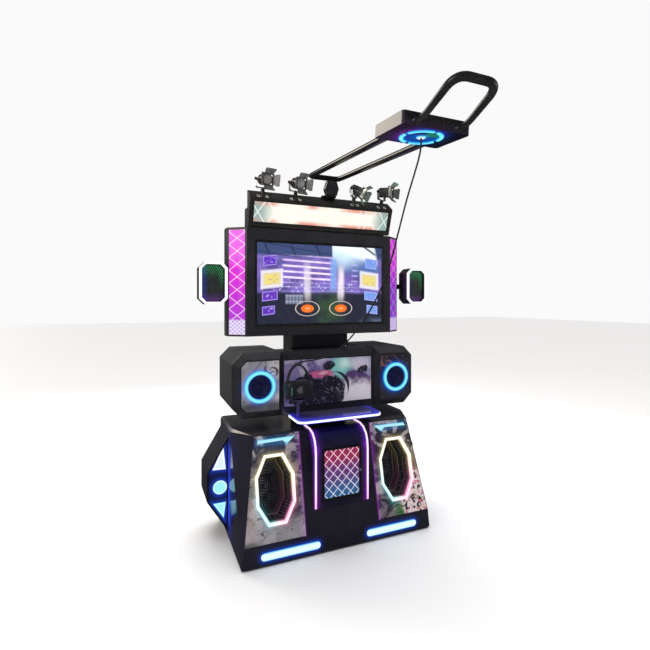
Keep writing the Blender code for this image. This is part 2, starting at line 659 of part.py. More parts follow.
# ---------------------------------------------------------------- boom
def make_boom():
    hexagon = ((0.032, 2.216), (0.048, 2.263), (0.032, BOOM_PIVOT[1] - BOOM_TUBE_RADIUS - GAP))
    outline = [(POST_X + x, z) for x, z in hexagon] + [(POST_X - x, z) for x, z in hexagon[::-1]]
    sole = block((POST_X - 0.062, POST_X + 0.043), (POST_Y[1] - 0.017, POST_Y[1] + 0.013),
                 (MARQUEE_RIDGE[1] + GAP, 2.221))
    place("boom_bracket", fuse(plate(outline, *POST_Y), sole), SATIN_BLACK)

    boom = frame("boom_tilt", (0.0, *BOOM_PIVOT), (BOOM_DROP, 0.0, 0.0))
    half, reach = BOOM_HALF_WIDTH, WINDER_Y[1] + GAP
    path = rounded_path([(-half, reach, 0.0), (-half, 0.0, 0.0), (half, 0.0, 0.0),
                         (half, reach, 0.0)], 0.035)
    place("boom_frame", tube(path, BOOM_TUBE_RADIUS, 3), TUBE_BLACK, boom)

    x, edge = WINDER_HALF_WIDTH, WINDER_EDGE
    front, back = WINDER_Y
    right = [(x - edge, front), (x, front + edge), (x, back - edge), (x - edge, back)]
    case = slab(right + [(-px, py) for px, py in reversed(right)], *WINDER_Z)
    middle_y = (front + back) / 2
    socket = slab(circle(SOCKET_RADIUS, 12, (0.0, middle_y)), WINDER_Z[0] - 0.01, 0.006)
    place("winder_box", cut(case, socket), GLOSS_SHELL, boom)

    ring = cut(slab(circle(0.098, 32, (0.0, middle_y)), WINDER_Z[0] - 0.005, WINDER_Z[0] - GAP),
               slab(circle(0.078, 32, (0.0, middle_y)), -0.1, 0.1))
    place("ring_light", smooth(ring), CYAN_LIGHT, boom)

    (foot_x, foot_z), (grip_x, grip_y, grip_z) = HANDLE_FEET, HANDLE_GRIP
    corners = [(-foot_x, front - GAP, foot_z), (-foot_x, front - 0.046, foot_z),
               (-grip_x, grip_y, grip_z), (grip_x, grip_y, grip_z),
               (foot_x, front - 0.046, foot_z), (foot_x, front - GAP, foot_z)]
    path = rounded_path(corners, 0.045, 6)
    rise = [max(0.0, (point.z - foot_z) / (grip_z - foot_z)) for point in path]
    place("handle", tube(path, 0.012, 3, [1.0 + 0.46 * r ** 1.5 for r in rise]), TUBE_BLACK, boom)


def make_cord():
    points = smooth_route(CORD_ROUTE, 0.034)
    place("tether_cord", tube(points, CORD_RADIUS), RUBBER)


make_base()
make_light_windows()
make_column()
make_side_pods()
make_rear_door_and_inside()
make_speakers()
make_console()
make_shelf()
make_headset()
make_monitor()
make_side_lamps()
make_marquee()
make_stage_lamps()
make_boom()
make_cord()
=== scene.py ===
"""Visual model of an upright dance cabinet: lit panels, speakers, lamps, overhead boom and cord."""
import math
from functools import partialmethod

import bmesh
import bpy
from mathutils import Matrix, Vector


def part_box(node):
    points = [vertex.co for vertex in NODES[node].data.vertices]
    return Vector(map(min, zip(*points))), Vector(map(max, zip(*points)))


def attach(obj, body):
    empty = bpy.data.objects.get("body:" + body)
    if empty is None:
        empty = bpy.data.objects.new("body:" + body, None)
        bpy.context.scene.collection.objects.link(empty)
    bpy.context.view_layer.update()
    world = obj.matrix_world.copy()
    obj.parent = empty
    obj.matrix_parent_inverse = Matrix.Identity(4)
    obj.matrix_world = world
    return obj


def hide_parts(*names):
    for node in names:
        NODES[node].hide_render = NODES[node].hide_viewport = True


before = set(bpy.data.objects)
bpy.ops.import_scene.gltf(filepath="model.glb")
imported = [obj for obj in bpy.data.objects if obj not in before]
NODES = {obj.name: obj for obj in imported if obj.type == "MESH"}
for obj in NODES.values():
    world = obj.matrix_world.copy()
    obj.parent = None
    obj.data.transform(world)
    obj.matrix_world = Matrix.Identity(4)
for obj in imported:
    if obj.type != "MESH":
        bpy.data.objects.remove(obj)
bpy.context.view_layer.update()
ROOT = "cabinet"
SIDES = (("left", -1), ("right", 1))
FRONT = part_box("base_carcass")[0].y     # world Y of the kick plate; other Y values count from it
KICK_TOP = 0.120                        # the base's front leans back above this height
LEAN = math.atan2(0.132, 0.590)
SIGN_Y, SIGN_Z, SIGN_LEAN = 0.3245, 1.981, math.atan2(0.0525, 0.174)
BOOM_Y, BOOM_Z, BOOM_RISE = 0.305, 2.335, 0.078
STAGE_Y, STAGE_Z = 0.285, 2.272         # each stage lamp's pan and tilt axes cross here
ACROSS, UP = Vector((1, 0, 0)), Vector((0, 0, 1))
FORWARD = Vector((0, -1, 0))

# ---------------------------------------------------------------- camera and light
scene = bpy.context.scene
scene.view_settings.view_transform = "Standard"
camera = bpy.data.objects.new("camera", bpy.data.cameras.new("camera"))
scene.collection.objects.link(camera)
camera.location = (-1.1517, -2.1226, 1.5055)
camera.rotation_euler = (math.radians(90), 0, math.radians(-22.53))
camera.data.lens = 23.87
camera.data.sensor_width = 36
camera.data.shift_x = 0.0108
camera.data.shift_y = -0.0369
scene.camera = camera


def area_light(name, location, target, size, power, colour=(1, 1, 1), reflected=True):
    lamp = bpy.data.lights.new(name, "AREA")
    lamp.shape = "RECTANGLE"
    lamp.size, lamp.size_y = size
    lamp.energy, lamp.color = power, colour
    obj = bpy.data.objects.new(name, lamp)
    scene.collection.objects.link(obj)
    obj.location = location
    obj.visible_glossy = reflected
    obj.rotation_euler = (Vector(target) - Vector(location)).to_track_quat("-Z", "Y").to_euler()


area_light("key", (-4.2, -1.6, 3.4), (0, 0.2, 1.1), (2.6, 2.6), 60, (1.0, 0.985, 0.96))
area_light("top", (0.0, -0.6, 5.2), (0, 0.2, 0.6), (4.5, 3.5), 60, reflected=False)
area_light("fill", (4.4, -2.2, 2.2), (0, 0.2, 1.0), (2.0, 2.6), 22, (0.94, 0.97, 1.0))
area_light("rear", (0.6, 5.0, 2.8), (0, 0.3, 1.2), (3.0, 2.5), 70, reflected=False)


# ---------------------------------------------------------------- arithmetic inside materials
def feed(tree, socket, value):
    if isinstance(value, (Value, Colour)):
        tree.links.new(value.socket, socket)
    else:
        socket.default_value = value


class Value:
    """A number made by a material's nodes, with ordinary arithmetic."""

    def __init__(self, tree, socket):
        self.tree, self.socket = tree, socket

    def math(self, operation, *others, clamp=False):
        node = self.tree.nodes.new("ShaderNodeMath")
        node.operation, node.use_clamp = operation, clamp
        for socket, value in zip(node.inputs, (self, *others)):
            feed(self.tree, socket, value)
        return Value(self.tree, node.outputs[0])

    __add__ = __radd__ = partialmethod(math, "ADD")
    __mul__ = __rmul__ = partialmethod(math, "MULTIPLY")
    __sub__ = partialmethod(math, "SUBTRACT")
    __truediv__ = partialmethod(math, "DIVIDE")
    __pow__ = partialmethod(math, "POWER")
    __neg__ = partialmethod(math, "MULTIPLY", -1.0)
    abs = partialmethod(math, "ABSOLUTE")
    least = partialmethod(math, "MINIMUM")
    most = partialmethod(math, "MAXIMUM")
    clamp = partialmethod(math, "MULTIPLY", 1.0, clamp=True)
    to_whole = partialmethod(math, "PINGPONG", 0.5)      # distance to the nearest whole number

    def __rsub__(self, other):
        return -self + other

    def fade(self, width):
        """1 at zero and below, dying away over the width."""
        return (self.most(0.0) / -width).math("EXPONENT")

    def rise(self, low, high):
        """0 below low, 1 above high and smooth between; low may be above high."""
        node = self.tree.nodes.new("ShaderNodeMapRange")
        node.interpolation_type = "SMOOTHSTEP"
        feed(self.tree, node.inputs["Value"], self)
        node.inputs["From Min"].default_value = min(low, high)
        node.inputs["From Max"].default_value = max(low, high)
        node.inputs["To Min"].default_value = float(low > high)
        node.inputs["To Max"].default_value = float(low <= high)
        return Value(self.tree, node.outputs["Result"])


def far(a, b):
    """The length of a and b at right angles."""
    return (a * a + b * b) ** 0.5


class Colour:
    """A colour or a vector made by a material's nodes."""

    def __init__(self, tree, socket):
        self.tree, self.socket = tree, socket

    def vector(self, operation, *others):
        node = self.tree.nodes.new("ShaderNodeVectorMath")
        node.operation = operation
        for socket, value in zip(node.inputs, (self, *others)):
            feed(self.tree, socket, value)
        return node

    def __add__(self, other):
        return Colour(self.tree, self.vector("ADD", other).outputs[0])

    def __sub__(self, other):
        return Colour(self.tree, self.vector("SUBTRACT", other).outputs[0])

    def __mul__(self, other):
        if not isinstance(other, (Value, float, int)):
            return Colour(self.tree, self.vector("MULTIPLY", other).outputs[0])
        node = self.vector("SCALE")
        feed(self.tree, node.inputs["Scale"], other)
        return Colour(self.tree, node.outputs[0])

    def dot(self, other):
        return Value(self.tree, self.vector("DOT_PRODUCT", other).outputs["Value"])

    def length(self):
        return Value(self.tree, self.vector("LENGTH").outputs["Value"])

    def over(self, *layers):
        """This colour with others laid over it, as colour, amount, colour, amount and so on."""
        result = self
        for other, amount in zip(layers[::2], layers[1::2]):
            node = self.tree.nodes.new("ShaderNodeMix")
            node.data_type = "RGBA"
            feed(self.tree, node.inputs[0], amount)
            feed(self.tree, node.inputs[6], result)
            feed(self.tree, node.inputs[7], other if isinstance(other, Colour) else (*other, 1.0))
            result = Colour(self.tree, node.outputs[2])
        return result


class Look:
    """One material: its Principled shader and where a point is, in cabinet coordinates."""

    def __init__(self, name, rough=0.4, metal=0.0, coat=0.0, specular=0.5):
        self.made = bpy.data.materials.new(name)
        self.made.use_nodes = True
        self.tree = self.made.node_tree
        self.shader = self.tree.nodes["Principled BSDF"]
        for socket, value in (("Roughness", rough), ("Metallic", metal), ("Coat Weight", coat),
                              ("Coat Roughness", 0.05), ("Specular IOR Level", specular)):
            self.shader.inputs[socket].default_value = value
        coordinates = self.tree.nodes.new("ShaderNodeTexCoord").outputs
        self.place = Colour(self.tree, coordinates["Object"]) - (0.0, FRONT, 0.0)
        self.normal = Colour(self.tree, coordinates["Normal"])
        split = self.tree.nodes.new("ShaderNodeSeparateXYZ")
        self.tree.links.new(self.place.socket, split.inputs[0])
        self.x, self.y, self.z = [Value(self.tree, socket) for socket in split.outputs]

    def colour(self, value):
        node = self.tree.nodes.new("ShaderNodeRGB")
        node.outputs[0].default_value = (*value, 1.0)
        return Colour(self.tree, node.outputs[0])

    def noise(self, scale, detail=3.0, distortion=0.0, stretch=None, roughness=0.5):
        node = self.tree.nodes.new("ShaderNodeTexNoise")
        for socket, value in (("Scale", scale), ("Detail", detail), ("Roughness", roughness),
                              ("Distortion", distortion)):
            node.inputs[socket].default_value = value
        feed(self.tree, node.inputs["Vector"], self.place * stretch if stretch else self.place)
        return Value(self.tree, node.outputs[0])

    def segment_distance(self, start, end, mirrored=True):
        """Distance to the stretch from start to end and, if mirrored, to its image on the left."""
        place = self.place
        if mirrored:
            node = self.tree.nodes.new("ShaderNodeCombineXYZ")
            for socket, value in zip(node.inputs, (self.x.abs(), self.y, self.z)):
                feed(self.tree, socket, value)
            place = Colour(self.tree, node.outputs[0])
        along = Vector(end) - Vector(start)
        offset = place - start
        part = offset.dot(tuple(along / along.length_squared)).clamp()
        return (offset - self.colour(along) * part).length()

    def spill(self, lights):
        """The glow of lit strips on the gloss round them."""
        total = None
        for start, end, core, colour, reach, mirrored in lights:
            glow = (self.segment_distance(start, end, mirrored) - core).fade(reach)
            total = self.colour(colour) * glow if total is None else total + self.colour(colour) * glow
        return total

    def base(self, value):
        feed(self.tree, self.shader.inputs["Base Color"],
             value if isinstance(value, Colour) else (*value, 1.0))

    def glow(self, value, strength=1.0):
        self.shader.inputs["Emission Strength"].default_value = strength
        feed(self.tree, self.shader.inputs["Emission Color"], value)

    def bump(self, height, distance=0.001, strength=0.4):
        node = self.tree.nodes.new("ShaderNodeBump")
        node.inputs["Distance"].default_value = distance
        node.inputs["Strength"].default_value = strength
        feed(self.tree, node.inputs["Height"], height)
        self.tree.links.new(node.outputs[0], self.shader.inputs["Normal"])

    def worn(self, colour, lighter=0.25, rough=0.3, spread=0.12, scale=9.0):
        """A base colour with faint cloudy variation and an uneven polish; gives the colour back."""
        cloud, fine = self.noise(scale, 4.0), self.noise(scale * 14, 2.0)
        light = tuple(min(1.0, c * (1 + lighter) + 0.002) for c in colour)
        made = self.colour(colour).over(light, cloud.rise(0.35, 0.7))
        self.base(made)
        feed(self.tree, self.shader.inputs["Roughness"],
             (cloud - 0.5) * spread * 1.4 + (fine - 0.5) * spread * 0.5 + rough)
        return made


# Lit strips that glow on the gloss round them: ends, core radius, colour, reach, mirrored.
NEON = ((0.176, 0.024, 0.262), (0.176, 0.026, 0.600), 0.006, (0.17, 0.012, 0.32), 0.011, True)
NEON_TOP = ((0.176, 0.030, 0.610), (0.176, 0.095, 0.706), 0.006, (0.14, 0.02, 0.50), 0.013, True)
SHELF = ((-0.250, 0.018, 0.784), (0.250, 0.018, 0.784), 0.006, (0.02, 0.018, 0.60), 0.030, False)
SHELF_END = ((0.284, 0.060, 0.784), (0.284, 0.190, 0.784), 0.006, (0.02, 0.018, 0.60), 0.020, True)
KICK = ((0.180, -0.002, 0.060), (0.496, -0.002, 0.060), 0.022, (0.0, 0.06, 0.60), 0.008, True)
POD = ((0.632, 0.362, 0.120), (0.632, 0.362, 0.560), 0.012, (0.02, 0.05, 0.60), 0.030, True)
RING = ((0.478, 0.180, 0.986), (0.478, 0.181, 0.987), 0.098, (0.0, 0.06, 0.42), 0.010, True)


def gloss_black(name, lights=(), tint=(0.016, 0.015, 0.028), rough=0.17, top_sheen=0.0):
    """Black gloss lacquer, with the light that spills on it and a painted lighter sheen on what faces up."""
    look = Look(name, specular=0.34)
    lacquer = look.worn(tuple(0.6 * c for c in tint), 0.25, rough, 0.07, 5.0)
    # painted sheen: a lighter grey painted on the faces that look up
    if top_sheen:
        look.base(lacquer.over((0.10, 0.098, 0.100), look.normal.dot(UP).rise(0.2, 0.9) * top_sheen))
    look.bump(look.noise(60, 2.0), 0.0004, 0.10)
    if lights:
        look.glow(look.spill(lights))
    return look.made


def plain_look(name, colour, rough=0.4, metal=0.0, lighter=0.3, scale=20.0, bump=0.15, specular=0.5):
    look = Look(name, metal=metal, specular=specular)
    look.worn(colour, lighter, rough, 0.15, scale)
    look.bump(look.noise(scale * 12, 2.0), 0.0006, bump)
    return look.made


def diffuser(name, unlit, core, edge, amount, strength=1.0, rough=0.3):
    """A lit diffuser: the core colour, turned to the edge colour by what amount(look) gives."""
    look = Look(name, rough=rough)
    look.base(unlit)
    look.glow(look.colour(core).over(edge, amount(look)), strength)
    return look.made


# ---------------------------------------------------------------- shapes
def at(x, y, z):
    return Vector((x, y + FRONT, z))


def turned(x=0.0, y=0.0, z=0.0):
    return Matrix.Rotation(z, 4, "Z") @ Matrix.Rotation(y, 4, "Y") @ Matrix.Rotation(x, 4, "X")


HERE = Matrix.Translation((0, FRONT, 0))
SLOPE = HERE @ Matrix.Translation((0, 0, KICK_TOP)) @ turned(x=-LEAN)
SIGN = HERE @ Matrix.Translation((0, SIGN_Y, SIGN_Z)) @ turned(x=SIGN_LEAN)
BOOM = HERE @ Matrix.Translation((0, BOOM_Y, BOOM_Z)) @ turned(x=BOOM_RISE)


def to_object(bm, name, material, body=ROOT, replaces=None, angle=35):
    bmesh.ops.recalc_face_normals(bm, faces=bm.faces)
    mesh = bpy.data.meshes.new(name)
    bm.to_mesh(mesh)
    bm.free()
    for each in material if isinstance(material, list) else [material]:
        mesh.materials.append(each)
    mesh.shade_smooth()
    mesh.set_sharp_from_angle(angle=math.radians(angle))
    obj = bpy.data.objects.new(name, mesh)
    scene.collection.objects.link(obj)
    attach(obj, body)
    if replaces:
        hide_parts(replaces)
    return obj


def add_loft(bm, loops, cap=True, material=0):
    rings = [[bm.verts.new(p) for p in loop] for loop in loops]
    count = len(rings[0])
    for lower, upper in zip(rings, rings[1:]):
        for i in range(count):
            j = (i + 1) % count
            bm.faces.new((lower[i], lower[j], upper[j], upper[i])).material_index = material
    if cap:
        bm.faces.new(rings[0][::-1]).material_index = material
        bm.faces.new(rings[-1]).material_index = material


def round_edges(bm, width, angle=25):
    sharp = [e for e in bm.edges if len(e.link_faces) == 2
             and e.calc_face_angle(0.0) > math.radians(angle)]
    bmesh.ops.bevel(bm, geom=sharp, offset=width, segments=2, profile=0.6,
                    affect="EDGES", clamp_overlap=True, miter_outer="ARC")


def join(bm, part, bevel=0.0):
    """Move a part into a mesh, with its edges rounded first."""
    bmesh.ops.recalc_face_normals(part, faces=part.faces)
    if bevel:
        round_edges(part, bevel)
    mesh = bpy.data.meshes.new("part")
    part.to_mesh(mesh)
    part.free()
    bm.from_mesh(mesh)
    bpy.data.meshes.remove(mesh)


def add_box(bm, x, y, z, bevel=0.0, matrix=HERE, material=0):
    part = bmesh.new()
    add_loft(part, [[matrix @ Vector((a, b, c)) for a, b in
                     ((x[0], y[0]), (x[1], y[0]), (x[1], y[1]), (x[0], y[1]))] for c in z],
             material=material)
    join(bm, part, bevel)


def circle(radius, count):
    return [(radius * math.cos(2 * math.pi * i / count),
             radius * math.sin(2 * math.pi * i / count)) for i in range(count)]


def add_lathe(bm, profile, centre=(0, 0, 0), axis="Y", count=40, material=0, matrix=HERE):
    """Turn (radius, along) points about an axis through the centre."""
    loops = []
    for radius, along in profile:
        points = {"X": lambda a, b: (along, a, b), "Y": lambda a, b: (a, along, b),
                  "Z": lambda a, b: (a, b, along)}[axis]
        loops.append([matrix @ (Vector(points(a, b)) + Vector(centre))
                      for a, b in circle(max(radius, 1e-5), count)])
    add_loft(bm, loops, material=material)


def slug(radius, low, high):
    """The lathe profile of a plain round bar."""
    return (0, low), (radius, low), (radius, high), (0, high)


def add_tube(bm, points, radius, scale=None):
    """A round bar that follows the points."""
    tangent = (points[1] - points[0]).normalized()
    normal = tangent.orthogonal().normalized()
    loops = []
    for i, point in enumerate(points):
        ahead = (points[min(i + 1, len(points) - 1)] - points[max(i - 1, 0)]).normalized()
        normal, tangent = tangent.rotation_difference(ahead) @ normal, ahead
        side = tangent.cross(normal)
        size = radius * (scale[i] if scale else 1.0)
        loops.append([point + (normal * a + side * b) * size for a, b in circle(1.0, 32)])
    add_loft(bm, loops)


def rounded_path(corners, radii, steps):
    """A path through corners, each inner one swapped for a curve of its own radius."""
    corners = [Vector(corner) for corner in corners]
    points = corners[:1]
    for before, corner, after, radius in zip(corners, corners[1:], corners[2:], radii):
        start = corner + (before - corner).normalized() * radius
        end = corner + (after - corner).normalized() * radius
        for i in range(steps + 1):
            t = i / steps
            points.append(start * (1 - t) ** 2 + corner * 2 * t * (1 - t) + end * t ** 2)
    return points + corners[-1:]


def refill(bm):
    """Fill each flat stretch afresh, so that a face round an opening keeps clear of it."""
    waiting = {e for e in bm.edges if len(e.link_faces) == 2 and e.calc_face_angle(1.0) < 0.002}
    stretches = []
    while waiting:
        queue, faces = [waiting.pop()], set()
        while queue:
            for face in queue.pop().link_faces:
                if face not in faces:
                    faces.add(face)
                    more = waiting.intersection(face.edges)
                    waiting -= more
                    queue.extend(more)
        stretches.append(faces)
    for faces in stretches:
        normal = max(faces, key=lambda face: face.calc_area()).normal.copy()
        rim = [e for face in faces for e in face.edges if sum(f in faces for f in e.link_faces) == 1]
        bmesh.ops.delete(bm, geom=list(faces), context="FACES_KEEP_BOUNDARY")
        bmesh.ops.triangle_fill(bm, use_beauty=True, edges=rim, normal=normal)
    bmesh.ops.delete(bm, geom=[e for e in bm.edges if not e.link_faces], context="EDGES")
    bmesh.ops.holes_fill(bm, edges=[e for e in bm.edges if e.is_boundary])


def clad(node, material, bevel=0.002, body=ROOT, under=None):
    """A copy of a CAD node with rounded edges, which stands for it; under finishes its underside."""
    bm = bmesh.new()
    bm.from_mesh(NODES[node].data)
    bmesh.ops.remove_doubles(bm, verts=bm.verts, dist=2e-5)
    bmesh.ops.dissolve_limit(bm, angle_limit=math.radians(0.6), verts=bm.verts, edges=bm.edges)
    round_edges(bm, bevel)
    refill(bm)
    if under:
        for face in bm.faces:
            face.material_index = 1 if face.normal.z < -0.95 else 0
        material = [material, under]
    obj = to_object(bm, node + "_finish", material, body, node, angle=40)
    obj.modifiers.new("normals", "WEIGHTED_NORMAL").keep_sharp = True


def repaint(node, material):
    """Give a CAD node that keeps its own shape a finished material."""
    NODES[node].data.materials.clear()
    NODES[node].data.materials.append(material)


def inset(outline, margin):
    """A convex outline drawn in by a margin."""
    points = [Vector(p) for p in outline]
    middle = sum(points, Vector((0, 0))) / len(points)
    lines = []
    for a, b in zip(points, points[1:] + points[:1]):
        normal = Vector((b.y - a.y, a.x - b.x)).normalized()
        if normal.dot(middle - a) < 0:
            normal = -normal
        lines.append((normal, normal.dot(a) + margin))
    made = []
    for (n, d), (m, e) in zip(lines[-1:] + lines[:-1], lines):
        cross = n.x * m.y - n.y * m.x
        made.append(((d * m.y - e * n.y) / cross, (n.x * e - m.x * d) / cross))
    return made


def stations(outline, section, matrix):
    """An X-Z outline at each (inset, depth) of a section."""
    return [[matrix @ Vector((x, depth, z)) for x, z in inset(outline, margin)]
            for margin, depth in section]


def add_ring(bm, loops):
    """A closed ring, whose last loop joins its first."""
    add_loft(bm, loops + loops[:1], cap=False)
    bmesh.ops.remove_doubles(bm, verts=bm.verts, dist=1e-7)


def add_cup(bm, outline, walls, matrix):
    """A closed housing open to the front, inside first; its second material is the inside's end."""
    part = bmesh.new()
    add_loft(part, stations(outline, walls, matrix))
    part.faces.ensure_lookup_table()
    part.faces[-2].material_index = 1
    join(bm, part)


def rectangle(half_width, low, high):
    return [(-half_width, low), (half_width, low), (half_width, high), (-half_width, high)]


def add_strip(bm, path, thick, width, matrix):
    """A flat band: an X-Z path made thick in its plane and wide along Y."""
    points = [Vector(p) for p in path]
    loops = []
    for i, p in enumerate(points):
        along = (points[min(i + 1, len(points) - 1)] - points[max(i - 1, 0)]).normalized()
        n = Vector((-along.y, along.x)) * thick / 2
        loops.append([matrix @ Vector((q.x, y, q.y)) for q, y in
                      ((p - n, width[0]), (p + n, width[0]), (p + n, width[1]), (p - n, width[1]))])
    add_loft(bm, loops)


def add_screw(bm, centre, facing, r=0.004, material=0):
    """A round cap screw with a hexagonal socket, standing on a surface."""
    matrix = Matrix.Translation(centre) @ UP.rotation_difference(facing).to_matrix().to_4x4()
    rings = ((r, -0.0005), (r, 0.45 * r), (0.85 * r, 0.62 * r), (0.48 * r, 0.62 * r),
             (0.46 * r, 0.25 * r), (1e-5, 0.22 * r))
    add_loft(bm, [[matrix @ Vector((a, b, z)) for a, b in circle(q, 12)] for q, z in rings],
             material=material)


def add_louvres(bm, count, low, step, middle, half, section):
    """A column of bent slats: their lowest height and step, and an edge's (Y, Z) points."""
    for i in range(count):
        add_loft(bm, [[at(x, y, low + i * step + dz) for y, dz in section]
                      for x in (middle - half, middle + half)])


# ---------------------------------------------------------------- the tether cord
CORD_WIDTH = 0.008
CORD_ROUTE = ((0.000, -0.7752, 2.2360), (0.000, -0.7752, 2.2050), (-0.004, -0.768, 2.150),
              (-0.012, -0.738, 2.070), (-0.021, -0.700, 1.980), (-0.029, -0.668, 1.890),
              (-0.038, -0.634, 1.790), (-0.049, -0.590, 1.670), (-0.063, -0.533, 1.560),
              (-0.080, -0.462, 1.461), (-0.100, -0.378, 1.368), (-0.123, -0.285, 1.287),
              (-0.148, -0.185, 1.222), (-0.175, -0.078, 1.178), (-0.204, 0.012, 1.154),
              (-0.230, 0.072, 1.142), (-0.255, 0.118, 1.1265))


def smooth_route(route, spacing):
    """Evenly spaced points on a Catmull-Rom curve through the route's own points."""
    knots = [Vector(p) for p in route]
    knots = [2 * knots[0] - knots[1], *knots, 2 * knots[-1] - knots[-2]]
    fine = []
    for a, b, c, d in zip(knots, knots[1:], knots[2:], knots[3:]):
        for i in range(20):
            t = i / 20
            fine.append(0.5 * (2 * b + (c - a) * t + (2 * a - 5 * b + 4 * c - d) * t ** 2
                               + (3 * b - a - 3 * c + d) * t ** 3))
    points = fine[:1]
    for point in fine[1:]:
        if (point - points[-1]).length >= spacing:
            points.append(point)
    return points + [knots[-2]]


curve = bpy.data.curves.new("cord", "CURVE")
curve.dimensions = "3D"
curve.bevel_depth = CORD_WIDTH / 2
curve.bevel_resolution = 4
curve.use_fill_caps = True
route = [at(*p) for p in smooth_route(CORD_ROUTE, 0.034)]
spline = curve.splines.new("POLY")
spline.points.add(len(route) - 1)
for knot, point in zip(spline.points, route):
    knot.co = (*point, 1.0)
curve.materials.append(plain_look("cord_rubber", (0.012, 0.012, 0.013), 0.42, 0.0, 0.5, 40, 0.3))
cord = bpy.data.objects.new("headset_cord", curve)
scene.collection.objects.link(cord)
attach(cord, ROOT)
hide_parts("tether_cord")

# ---------------------------------------------------------------- plain finishes
TUBE = plain_look("gloss_tube", (0.004, 0.004, 0.0045), 0.12, 0.0, 0.5, 12, 0.08, 0.32)
HANDLE = plain_look("handle_enamel", (0.014, 0.014, 0.015), 0.24, 0.0, 0.5, 12, 0.08, 0.45)
SATIN = plain_look("satin_sheet", (0.020, 0.020, 0.022), 0.38, 0.2, 0.5, 14, 0.25)
STEEL = plain_look("satin_steel", (0.42, 0.42, 0.44), 0.32, 0.9, 0.25, 30, 0.25)
# pale metal for the lamp foot tabs: partly their own whitish metal, partly a painted glint, a light diffuse
# colour in place of reflections
PALE_METAL_AND_GLINT = plain_look("pale_zinc_and_painted_glint", (0.55, 0.53, 0.49), 0.42, 0.2, 0.3, 30, 0.2)
GUNMETAL = plain_look("gunmetal", (0.088, 0.084, 0.080), 0.36, 0.5, 0.5, 22, 0.3)
LEAF = plain_look("barn_door_sheet", (0.25, 0.245, 0.225), 0.38, 0.6, 0.35, 26, 0.2)
MATT = plain_look("matt_black", (0.012, 0.012, 0.013), 0.60, 0.0, 0.6, 30, 0.4)
FOAM = plain_look("face_foam", (0.030, 0.030, 0.034), 0.90, 0.0, 0.5, 60, 0.8)
SCREW = plain_look("screw_steel", (0.30, 0.30, 0.32), 0.30, 0.95, 0.3, 60, 0.2)

# ---------------------------------------------------------------- base and column
WINDOW_X = 0.413
WINDOW_HALF = ((0.060, 0.488), (0.121, 0.366), (0.120, 0.209), (0.055, 0.096))
WINDOW_FRAME = ((0.0002, 0.012), (0.0002, -0.0025), (0.0018, -0.0040), (0.0125, -0.0040),
                (0.0165, -0.0020), (0.0175, 0.012))
WINDOW_WALLS = ((0.036, 0.110), (0.021, 0.011), (0.0165, 0.0125), (0.0045, 0.0125), (0.0045, 0.119))


def neon_look():
    """White light that turns magenta at its edges and pink towards its lower end."""
    look = Look("neon_tube", rough=0.3)
    core = ((look.x.abs() - 0.176).abs() / 0.0055).rise(0.80, 1.15)
    tint = look.colour((1.0, 0.80, 1.0)).over((1.0, 0.42, 0.85), look.z.rise(0.40, 0.262) * 0.8)
    look.base((0.05, 0.03, 0.06))
    look.glow(tint.over((0.50, 0.05, 0.85), core * 0.9), 1.25)
    return look.made


def kick_light_amount(look):
    """Bright along the middle line, with small spots behind the diffuser."""
    across = (look.z - 0.060).abs() / 0.022
    return (across.rise(0.60, 1.10) + (look.x / 0.0125).to_whole().rise(0.0, 0.5) * 0.18).clamp()


def slope_height(look):
    """Distance up the leaning front."""
    return look.y * math.sin(LEAN) + (look.z - KICK_TOP) * math.cos(LEAN)


def slope_depth(look):
    return look.y * math.cos(LEAN) - (look.z - KICK_TOP) * math.sin(LEAN)


def outside(across, up, corners, middle):
    """Distance outside the lines through the corners, negative on the middle's side."""
    farthest = None
    for a, b in zip(corners, corners[1:]):
        normal = Vector((b[1] - a[1], a[0] - b[0])).normalized()
        if normal.dot(Vector(middle) - Vector(a)) > 0:
            normal = -normal
        reach = across * normal.x + up * normal.y - normal.dot(a)
        farthest = reach if farthest is None else farthest.most(reach)
    return farthest


def outside_window(look, side):
    """Distance outside the window's outline, negative inside."""
    up = slope_height(look)
    slant = outside((look.x - side * WINDOW_X).abs(), up, WINDOW_HALF, (0, 0.3))
    return slant.most(up - WINDOW_HALF[0][1]).most(WINDOW_HALF[-1][1] - up)


def window_tint(look, side, soft=0.0):
    """Warm white at the top, cyan white low on the left and pink low on the right."""
    low = slope_height(look).rise(0.40, 0.16)
    right = (look.x - side * WINDOW_X).rise(-0.05, 0.07)
    return look.colour((1.0, 0.92 - soft, 0.66 - soft * 2.5)).over(
        (0.40 - soft, 0.92, 1.0), low * (1.0 - right), (1.0, 0.36 - soft, 0.58), low * right)


def tunnel_look(side, name):
    """Dark mirror walls that fade from the frame's light, with a painted reflection of the lit frame partway
    in and rows of small perforations.
    """
    look = Look(name, rough=0.12, specular=0.7)
    s, depth = slope_height(look), slope_depth(look)
    row, step = (s / 0.0145).to_whole() / 0.5, ((depth + 0.003) / 0.0125).to_whole() / 0.5
    dots = (row * row + step * step).rise(0.28, 0.12) * look.noise(55, 1.0).rise(0.42, 0.50)
    glow = window_tint(look, side, 0.12) * ((depth - 0.008).fade(0.011) * 0.42)
    # painted reflection: a faint band of the frame's light partway into the tunnel
    frame_reflection = (depth - 0.062).abs().fade(0.004) * 0.05
    look.base((0.006, 0.008, 0.014))
    look.glow(glow + look.colour((0.055, 0.057, 0.060)) * dots + window_tint(look, side, 0.1) * frame_reflection)
    return look.made


